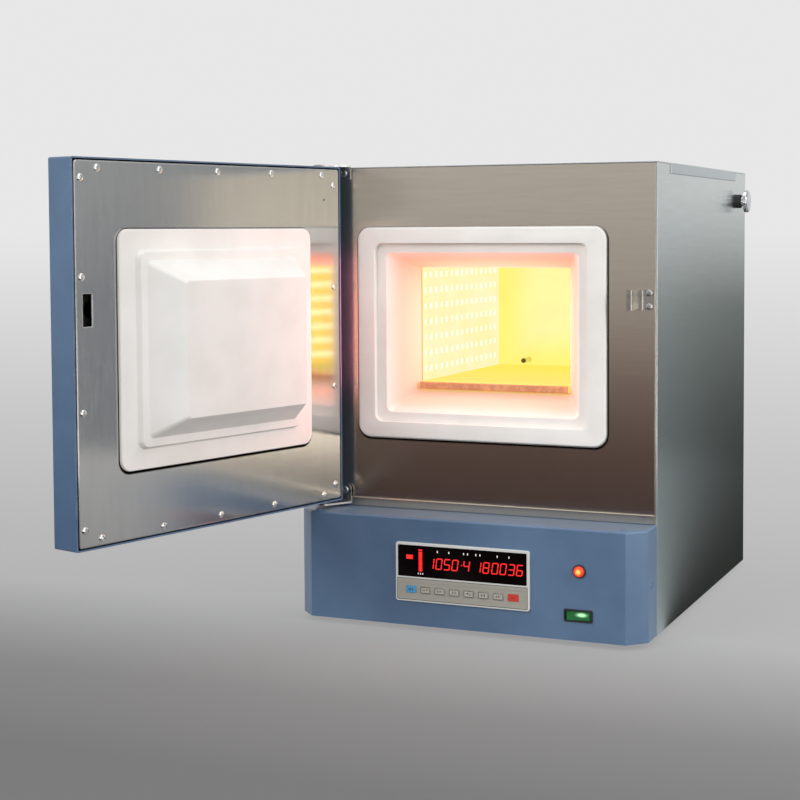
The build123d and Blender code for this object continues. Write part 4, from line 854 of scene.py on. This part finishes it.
# %% Cut the cross out of the head
def boolean_cut(body, cutter):
    """Cut one bmesh out of another with the Boolean modifier and give the new mesh."""
    pair = []
    for mesh, name in ((body, "cut body"), (cutter, "cutter")):
        data = bpy.data.meshes.new(name)
        mesh.to_mesh(data)
        mesh.free()
        pair.append(bpy.data.objects.new(name, data))
        scene.collection.objects.link(pair[-1])
    modifier = pair[0].modifiers.new("cut", "BOOLEAN")
    modifier.object = pair[1]
    modifier.operation = "DIFFERENCE"
    modifier.solver = "EXACT"
    graph = bpy.context.evaluated_depsgraph_get()
    made = bpy.data.meshes.new_from_object(pair[0].evaluated_get(graph))
    for helper in pair:
        bpy.data.objects.remove(helper)
    return made


screw_mesh = boolean_cut(turned, cross)
print("one screw has", len(screw_mesh.polygons), "faces")

# %% Read the seats of the CAD screws
door_facing = Vector((-along_door.y, along_door.x, 0))
screw_ways = [Vector(way) for way in ((0, -1, 0), (0, 1, 0), (1, 0, 0), (-1, 0, 0), (0, 0, 1))]
screw_ways.append(door_facing)
same_level = 1e-5


def islands(mesh):
    """The points of each separate solid in a mesh, in the order of the mesh."""
    waiting = dict.fromkeys(mesh.verts)
    while waiting:
        first = next(iter(waiting))
        del waiting[first]
        island, edge = [], [first]
        while edge:
            vert = edge.pop()
            island.append(vert.co.copy())
            for near in (e.other_vert(vert) for e in vert.link_edges):
                if near in waiting:
                    del waiting[near]
                    edge.append(near)
        yield island


def screw_seat(island):
    """The seat and facing of one screw, from the points of its solid."""
    def rings(way):
        return len({round(p.dot(way) / same_level) for p in island})

    def width(p):
        return ((p - centre) - way * (p - centre).dot(way)).length

    way = min(screw_ways, key=rings)
    centre = sum(island, Vector()) / len(island)
    top = max(p.dot(way) for p in island)
    bottom = min(p.dot(way) for p in island)
    top_width = max(width(p) for p in island if p.dot(way) > top - same_level)
    bottom_width = max(width(p) for p in island if p.dot(way) < bottom + same_level)
    if bottom_width > top_width:
        way, top = -way, -bottom
    rim = [p for p in island if p.dot(way) > top - same_level]
    middle = sum(rim, Vector()) / len(rim)
    return middle - way * head_height, way


def screw_seats(node):
    """The seat and facing of every screw in a CAD node."""
    mesh = bmesh.new()
    mesh.from_mesh(nodes[node].data)
    bmesh.ops.remove_doubles(mesh, verts=mesh.verts, dist=1e-6)
    seats = [screw_seat(island) for island in islands(mesh)]
    mesh.free()
    return seats


# %% Set the screws
def set_screws(node, body, finish=plated_steel, painted_below=-1.0):
    """Every screw of a node, each turned by its own chance amount. The low ones are painted."""
    chance = random.Random(node)
    mesh = bmesh.new()
    painted = []
    for seat, way in screw_seats(node):
        before = len(mesh.verts)
        mesh.from_mesh(screw_mesh)
        mesh.verts.ensure_lookup_table()
        turn = Matrix.Rotation(chance.uniform(0, radians(90)), 4, "Z")
        stand = Matrix.Translation(seat) @ way.to_track_quat("Z", "Y").to_matrix().to_4x4() @ turn
        bmesh.ops.transform(mesh, matrix=stand, verts=mesh.verts[before:])
        painted += [int(seat.z < painted_below and way.y < 0.5)] * len(screw_mesh.polygons)
    for face, choice in zip(mesh.faces, painted):
        face.material_index = choice
    screws = finish_piece(mesh, f"{node}_crossed", finish, body, [node])
    if any(painted):
        screws.data.materials.append(blue_paint)
    shade_smooth(screws)


set_screws("liner_screws", "door", polished_steel)
set_screws("front_screws", "cabinet")
blue_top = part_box("base_front_cover")[1].z + head_height
set_screws("cover_screws", "cabinet", painted_below=blue_top)

# %% [markdown]
# Ceramic fibre can't hold a knife edge. The collar and the door's plug come out of CAD with sharp
# corners between their steps, so we copy them, join the loose triangles back into flat faces and
# round every real corner by rather less than a millimetre.

# %% Soften the fibre pieces
def softened(node, material, body, width=0.0007):
    """A copy of a CAD piece with its corners rounded."""
    mesh = bmesh.new()
    mesh.from_mesh(nodes[node].data)
    bmesh.ops.remove_doubles(mesh, verts=mesh.verts, dist=1e-6)
    bmesh.ops.dissolve_limit(mesh, angle_limit=radians(1.5), verts=mesh.verts, edges=mesh.edges)
    sharp = [e for e in mesh.edges if e.is_manifold and e.calc_face_angle(0) > radians(18)]
    bmesh.ops.bevel(
        mesh, geom=sharp, offset=width, offset_type="OFFSET", affect="EDGES", segments=3,
        profile=0.5, material=-1, clamp_overlap=True,
    )
    shade_smooth(finish_piece(mesh, f"soft_{node}", material, body, [node]), 40)


softened("collar", collar_fibre, "cabinet")
softened("door_plug", plain_fibre, "door")

# %% [markdown]
# The display shows plain seven-segment numbers. One segment is a six-sided circle pulled long, so
# it has the pointed ends of the real thing. Segments are laid out flat, slanted a little, given a
# thickness and stood up on the window. The bars and ticks round the figures are small flat tiles.

# %% Sizes and letters of the display
window_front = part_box("display_window")[0].y
digit_height = 0.0112
digit_width = 0.0062
segment_width = 0.00125
digit_slant = 0.14
lit_thickness = 0.00012
segments_lit = {
    "0": "abcdef", "1": "bc", "2": "abged", "3": "abgcd", "4": "fgbc", "5": "afgcd",
    "6": "afgedc", "7": "abc", "8": "abcdefg", "9": "abfgcd",
}
segment_places = {
    "a": (0, 1, False), "b": (0.5, 0.5, True), "c": (0.5, -0.5, True), "d": (0, -1, False),
    "e": (-0.5, -0.5, True), "f": (-0.5, 0.5, True), "g": (0, 0, False),
}
print(f"window front at y {window_front:.4f}")


# %% Helpers for flat figures
def add_segment(mesh, x, y, upright, length):
    """One pointed bar, lying flat."""
    bar = bmesh.ops.create_circle(
        mesh, segments=6, radius=segment_width / sqrt(3), cap_ends=True
    )["verts"]
    stretch = (length - segment_width * 1.3) / 2
    for vert in bar:
        vert.co.y += stretch if vert.co.y > 0 else -stretch
    if not upright:
        quarter = Matrix.Rotation(radians(90), 3, "Z")
        bmesh.ops.rotate(mesh, cent=(0, 0, 0), matrix=quarter, verts=bar)
    bmesh.ops.translate(mesh, verts=bar, vec=(x, y, 0))


def add_digit(mesh, figure, x):
    """A lit figure whose middle stands at x."""
    for letter in segments_lit[figure]:
        across, up, upright = segment_places[letter]
        length = digit_height / 2 if upright else digit_width
        add_segment(mesh, x + across * digit_width, up * digit_height / 2, upright, length)


def add_tile(mesh, x, y, width, height):
    """A small flat rectangle."""
    tile = bmesh.ops.create_grid(mesh, x_segments=1, y_segments=1, size=0.5)["verts"]
    bmesh.ops.scale(mesh, verts=tile, vec=(width, height, 1))
    bmesh.ops.translate(mesh, verts=tile, vec=(x, y, 0))


def stand_on(mesh, x, z, front, thickness, slant=0.0):
    """Give a flat mesh its thickness and stand it up, facing forward, at (x, z)."""
    for vert in mesh.verts:
        vert.co.x += vert.co.y * slant
    raised = only(BMVert, bmesh.ops.extrude_face_region(mesh, geom=mesh.faces[:])["geom"])
    bmesh.ops.translate(mesh, verts=raised, vec=(0, 0, thickness))
    stand = Matrix.Translation((x, front, z)) @ Matrix.Rotation(radians(90), 4, "X")
    bmesh.ops.transform(mesh, matrix=stand, verts=mesh.verts)


# %% Light the digits
# Each run of figures is (text, x of its first figure).
figures = [("1050", -0.0352), ("4", 0.0058), ("18", 0.0190), ("0036", 0.0384)]
figure_pitch = 0.0093
figures_z = 0.0700
display = bmesh.new()
for text, start in figures:
    for place, figure in enumerate(text):
        add_digit(display, figure, start + place * figure_pitch)
stand_on(display, 0, figures_z, window_front, lit_thickness, digit_slant)
finish_piece(display, "display_digits", led_red, "cabinet")

# %% The red block, the red bar and the printed ticks
# Each tile is (x, z, width, height) on the window.
bar_x, bar_width = -0.0476, 0.0042
red_tiles = [
    (-0.0604, 0.0756, 0.0078, 0.0046),
    (bar_x, 0.0712, bar_width, 0.0215),
    (bar_x, 0.0836, bar_width, 0.0016),
    (0.0003, 0.0704, 0.0012, 0.0012),
]
upper_ticks = (-0.0277, -0.0144, 0.0027, 0.0072, 0.0167, 0.0214, 0.0410, 0.0543)
lower_ticks = (-0.0502, bar_x, -0.0450)
white_tiles = [(x, 0.0830, 0.0011, 0.0022) for x in upper_ticks]
white_tiles += [(x, 0.0580, 0.0009, 0.0018) for x in lower_ticks]
for name, tiles, finish in (
    ("display_bars", red_tiles, led_red), ("display_ticks", white_tiles, white_print_painted_glow)
):
    flat = bmesh.new()
    for x, z, width, height in tiles:
        add_tile(flat, x, z - figures_z, width, height)
    stand_on(flat, 0, figures_z, window_front, lit_thickness)
    finish_piece(flat, name, finish, "cabinet")

# %% [markdown]
# Each grey key is framed by a thin dark ridge, and every key carries a small plain mark: bars
# and blocks that say nothing in particular. The ridge is a rounded rectangle with its middle taken
# out. Ridges and marks ride with their keys, so that they go in when a key is pressed.

# %% Helpers for the keys
def rounded_tile(mesh, width, height, radius):
    """A flat rectangle with round corners."""
    add_tile(mesh, 0, 0, width, height)
    bmesh.ops.bevel(
        mesh, geom=mesh.verts[:], offset=radius, offset_type="OFFSET", affect="VERTICES",
        segments=4, profile=0.5, material=-1,
    )


def finish_on_key(mesh, number, what, finish, height):
    """Stand a flat mesh on the middle of a key and let it ride with the key."""
    low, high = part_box(f"key_{number}")
    middle = (low + high) / 2
    stand_on(mesh, middle.x, middle.z, low.y, height)
    finish_piece(mesh, f"key_{number}_{what}", finish, f"key_{number}_body")


def key_frame(number, finish, inset=0.0003, ridge=0.0006, corner=0.0012, height=0.00012):
    """The ridge round one key."""
    low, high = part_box(f"key_{number}")
    mesh = bmesh.new()
    rounded_tile(mesh, high.x - low.x - 2 * inset, high.z - low.z - 2 * inset, corner)
    ring = bmesh.ops.inset_region(
        mesh, faces=mesh.faces[:], thickness=ridge, use_boundary=True, use_even_offset=True
    )["faces"]
    within = [face for face in mesh.faces if face not in ring]
    bmesh.ops.delete(mesh, geom=within, context="FACES")
    finish_on_key(mesh, number, "ridge", finish, height)


def key_mark(number, shapes, finish, height=0.0001):
    """Small tiles on one key. A shape is (x, z, width, height) from the key's middle."""
    mesh = bmesh.new()
    for shape in shapes:
        add_tile(mesh, *shape)
    finish_on_key(mesh, number, "mark", finish, height)


# %% Ridges and marks of the eight keys
key_marks = {
    1: [(-0.0022, 0, 0.0008, 0.0034), (-0.0008, 0, 0.0008, 0.0034), (0.0018, 0, 0.0014, 0.0026)],
    2: [(-0.0016, 0, 0.0030, 0.0007), (0.0020, 0.0008, 0.0009, 0.0020)],
    3: [(-0.0020, 0, 0.0008, 0.0028), (0.0012, 0, 0.0026, 0.0007)],
    4: [(-0.0014, 0, 0.0008, 0.0030), (0.0014, 0, 0.0008, 0.0030)],
    5: [(-0.0012, 0.0004, 0.0016, 0.0016), (0.0016, -0.0004, 0.0009, 0.0020)],
    6: [(-0.0016, 0, 0.0012, 0.0024), (0.0014, 0, 0.0012, 0.0024)],
    7: [(-0.0018, 0, 0.0008, 0.0022), (0.0010, 0, 0.0020, 0.0008), (0.0010, 0, 0.0008, 0.0020)],
    8: [(0, 0, 0.0050, 0.0009)],
}
mark_blue = moulded("blue key print", (26, 70, 104), 0.5, 0.6)
mark_red = moulded("red key print", (128, 26, 22), 0.5, 0.6)
for number, shapes in key_marks.items():
    if 1 < number < 8:
        key_frame(number, key_line)
    key_mark(number, shapes, {1: mark_blue, 8: mark_red}.get(number, key_line))

# %% [markdown]
# The studio is a floor that curves up into a wall, so there is no line behind the furnace. Its
# colour runs from pale above to mid grey below, as in the picture. Only camera, mirror and glass
# rays see the wall shine by itself: it lights nothing, and the floor near the furnace stays a
# matt surface that takes the shadow. From outside the wall is clear, as when a studio wall is
# rolled away, so the furnace can be seen from behind as well.

# %% The backdrop's finish
floor_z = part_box("rubber_feet")[0].z
floor_front, floor_rear, floor_half = -4.5, 1.5, 5.0
cove_radius = 0.5
wall_top = 4.0
pale_height = 0.42
grey_front = -0.75
floor_share = 0.9

backdrop, r = new_material("backdrop", roughness=0.95, specular_ior_level=0.05)
rise = r.ramp(r.axis("Z"), floor_z, pale_height, smooth=False)
run = r.ramp(r.axis("Y"), grey_front, floor_rear + cove_radius, smooth=False)
height = r.math("ADD", r.math("MULTIPLY", run, 0.5), r.math("MULTIPLY", rise, 0.5))
tones = r.add("ShaderNodeValToRGB")
stops = [(0.0, 122), (0.04, 138), (0.1, 184), (0.2, 191), (0.5, 206), (0.8, 221), (1.0, 231)]
for place, grey in stops[1:-1]:
    tones.color_ramp.elements.new(place)
for element, (place, grey) in zip(tones.color_ramp.elements, stops):
    element.position = place
    element.color = linear(grey, grey, grey)
r.feed(tones.inputs["Fac"], height)
matt = r.mix(1.0, tones.outputs["Color"], (floor_share, floor_share, floor_share, 1), "MULTIPLY")
r.paint("Base Color", matt)
path = r.add("ShaderNodeLightPath").outputs
through_glass = r.math("MAXIMUM", path["Is Glossy Ray"], path["Is Transmission Ray"])
seen = r.math("MAXIMUM", path["Is Camera Ray"], through_glass)
shining = r.add("ShaderNodeEmission")
r.feed(shining.inputs["Color"], tones.outputs["Color"])
far = r.ramp(height, 0.02, 0.3, 0.62, 1.0)
blend = r.add("ShaderNodeMixShader")
r.feed(blend.inputs[0], r.math("MULTIPLY", seen, far))
r.feed(blend.inputs[1], r.shader.outputs[0])
r.feed(blend.inputs[2], shining.outputs[0])
room_side = r.add("ShaderNodeNewGeometry").outputs["Backfacing"]
behind = r.math("MULTIPLY", path["Is Camera Ray"], r.math("SUBTRACT", 1.0, room_side))
cutaway = r.add("ShaderNodeMixShader")
r.feed(cutaway.inputs[0], behind)
r.feed(cutaway.inputs[1], blend.outputs[0])
r.feed(cutaway.inputs[2], r.add("ShaderNodeBsdfTransparent").outputs[0])
r.feed(backdrop.node_tree.nodes["Material Output"].inputs["Surface"], cutaway.outputs[0])
print(f"floor at z {floor_z:.4f}, made: {backdrop.name}")


# %% Pull the sheet out and up
def pull(mesh, line, vector):
    """Extrude an edge by a vector and give the new edge."""
    made = bmesh.ops.extrude_edge_only(mesh, edges=[line])["geom"]
    bmesh.ops.translate(mesh, verts=only(BMVert, made), vec=vector)
    return only(BMEdge, made)[0]


sheet = bmesh.new()
start = [sheet.verts.new((x, floor_front, floor_z)) for x in (-floor_half, floor_half)]
edge = pull(sheet, sheet.edges.new(start), (0, floor_rear - floor_front, 0))
cove = bmesh.ops.spin(
    sheet, geom=[edge, *edge.verts], cent=(0, floor_rear, floor_z + cove_radius), axis=(1, 0, 0),
    angle=radians(90), steps=24,
)["geom_last"]
pull(sheet, only(BMEdge, cove)[0], (0, 0, wall_top))
shade_smooth(finish_piece(sheet, "studio_sheet", backdrop))

# %% [markdown]
# Big soft lamps light the furnace from the front left, the right and above, and the world fills
# the shadows evenly. Two small red ones stand for the heat that spills from the chamber, one onto
# the door's plug and one into the gap at the hinge.

# %% The world
world = bpy.data.worlds.new("studio")
scene.world = world
world.use_nodes = True
sky = Recipe(world.node_tree)
direction = sky.add("ShaderNodeSeparateXYZ")
sky.feed(direction.inputs[0], sky.add("ShaderNodeTexCoord").outputs["Generated"])
below, above = (0.25, 0.19, 0.175, 1), (0.94, 0.94, 0.95, 1)
sky_tone = sky.mix(sky.ramp(direction.outputs["Z"], -0.16, 0.05), below, above)
background = world.node_tree.nodes["Background"]
sky.feed(background.inputs["Color"], sky_tone)
background.inputs["Strength"].default_value = 0.75
print("made:", world.name)


# %% The lamps
def soft_lamp(name, place, target, size, watts, colour=(1, 1, 1), mirrored=False):
    """A rectangular soft lamp that looks at its target. Mirrors show it only when mirrored."""
    data = bpy.data.lights.new(name, "AREA")
    data.shape = "RECTANGLE"
    data.size, data.size_y = size
    data.energy = watts
    data.color = colour
    lamp = bpy.data.objects.new(name, data)
    scene.collection.objects.link(lamp)
    lamp.location = place
    lamp.rotation_mode = "QUATERNION"
    lamp.rotation_quaternion = (Vector(target) - Vector(place)).to_track_quat("-Z", "Y")
    lamp.visible_camera = False
    lamp.visible_glossy = mirrored


furnace_middle = (0, 0, 0.28)
soft_lamp("key lamp", (-1.2, -2.4, 1.4), furnace_middle, (1.6, 1.2), 34)
soft_lamp("right lamp", (2.2, -0.75, 1.0), furnace_middle, (1.2, 1.4), 25, mirrored=True)
soft_lamp("top lamp", (0, -0.1, 2.3), furnace_middle, (2.0, 1.6), 10, mirrored=True)
mouth = Vector((0, chamber_front + 0.02, 0.322))
soft_lamp("chamber glow", mouth, (0, -1, mouth.z), (0.16, 0.12), 0.5, (1.0, 0.26, 0.24))
hinge_side = Vector((-0.143, -0.234, 0.325))
hinge_gap = Vector((-0.2, -0.262, 0.325))
soft_lamp("hinge glow", hinge_side, hinge_gap, (0.03, 0.15), 0.14, (1.0, 0.15, 0.2))

# %% [markdown]
# Polished steel has no look of its own: it shows the room. Photographers stand cards, or flags,
# where only the steel sees them, so that it darkens towards the floor instead of turning flat grey.
# We do the same with cards that are hidden from the camera and from the lamps. The long ones lie on
# the floor in front and beside the furnace, the others stand far off to its right and behind it.

# %% A helper for cards that only mirrors see
def flag(name, corners, tones):
    """A card for mirrors. Each tone is (height, colour), from its foot to its top."""
    finish, r = new_material(
        f"{name} card", roughness=1.0, base_color=(0, 0, 0, 1), specular_ior_level=0.0
    )
    tone = tones[0][1]
    for (low, before), (high, after) in zip(tones, tones[1:]):
        tone = r.mix(r.ramp(r.axis("Z"), low, high, smooth=False), tone, after)
    r.paint("Emission Color", tone)
    r.paint("Emission Strength", 1.0)
    mesh = bmesh.new()
    mesh.faces.new([mesh.verts.new(corner) for corner in corners])
    card = finish_piece(mesh, name, finish)
    card.visible_camera = False
    card.visible_diffuse = False
    card.visible_shadow = False
    card.visible_transmission = False


# %% Set up the cards
card_foot = floor_z + 0.002
side_far = 1.2
side_inner, side_middle, side_outer = 0.19, 0.575, 0.95
dark_front, band_front = -0.2176, -0.354
pale_sky = (0.8, 0.82, 0.82, 1)


def upright(first, second, top):
    """The corners of a card that stands between two points of the floor."""
    return [(*first, card_foot), (*second, card_foot), (*second, top), (*first, top)]


flag(
    "front_flag",
    [(-3.0, -3.2, 0.1), (0.1, -3.2, 0.1), (0.42, -0.7, card_foot), (-3.0, -0.7, card_foot)],
    [(0.0, (0.03, 0.005, 0.004, 1)), (0.1, (0.18, 0.1, 0.085, 1))],
)
flag(
    "side_floor_flag",
    [
        (side_inner, dark_front, card_foot), (side_middle, side_far, card_foot),
        (side_inner, side_far, card_foot),
    ],
    [(0.0, (0.03, 0.032, 0.029, 1))],
)
flag(
    "side_floor_band",
    [
        (side_inner, band_front, card_foot), (side_outer, side_far, card_foot),
        (side_middle, side_far, card_foot), (side_inner, dark_front, card_foot),
    ],
    [(0.0, (0.42, 0.46, 0.47, 1))],
)
flag(
    "side_dark_flag",
    upright((0.2, side_far), (side_middle, side_far), 0.5),
    [
        (0.0, (0.02, 0.021, 0.018, 1)), (0.1, (0.06, 0.066, 0.06, 1)),
        (0.29, (0.17, 0.185, 0.17, 1)), (0.5, pale_sky),
    ],
)
flag(
    "side_light_flag",
    upright((side_middle, side_far), (side_outer, side_far), 0.5),
    [(0.0, (0.24, 0.27, 0.27, 1)), (0.2, (0.36, 0.39, 0.39, 1)), (0.5, pale_sky)],
)
flag(
    "right_flag",
    upright((0.42, -1.9), (1.5, -0.3), 0.9),
    [(0.0, (3.2, 3.0, 2.9, 1)), (0.3, (1.3, 1.27, 1.22, 1)), (0.55, (1.0, 0.98, 0.93, 1))],
)
flag(
    "rear_right_flag",
    upright((0.73, 0.93), (1.45, -0.03), 1.2),
    [(0.0, (0.16, 0.18, 0.21, 1)), (0.3, (0.2, 0.22, 0.25, 1)), (0.6, (0.32, 0.33, 0.34, 1))],
)
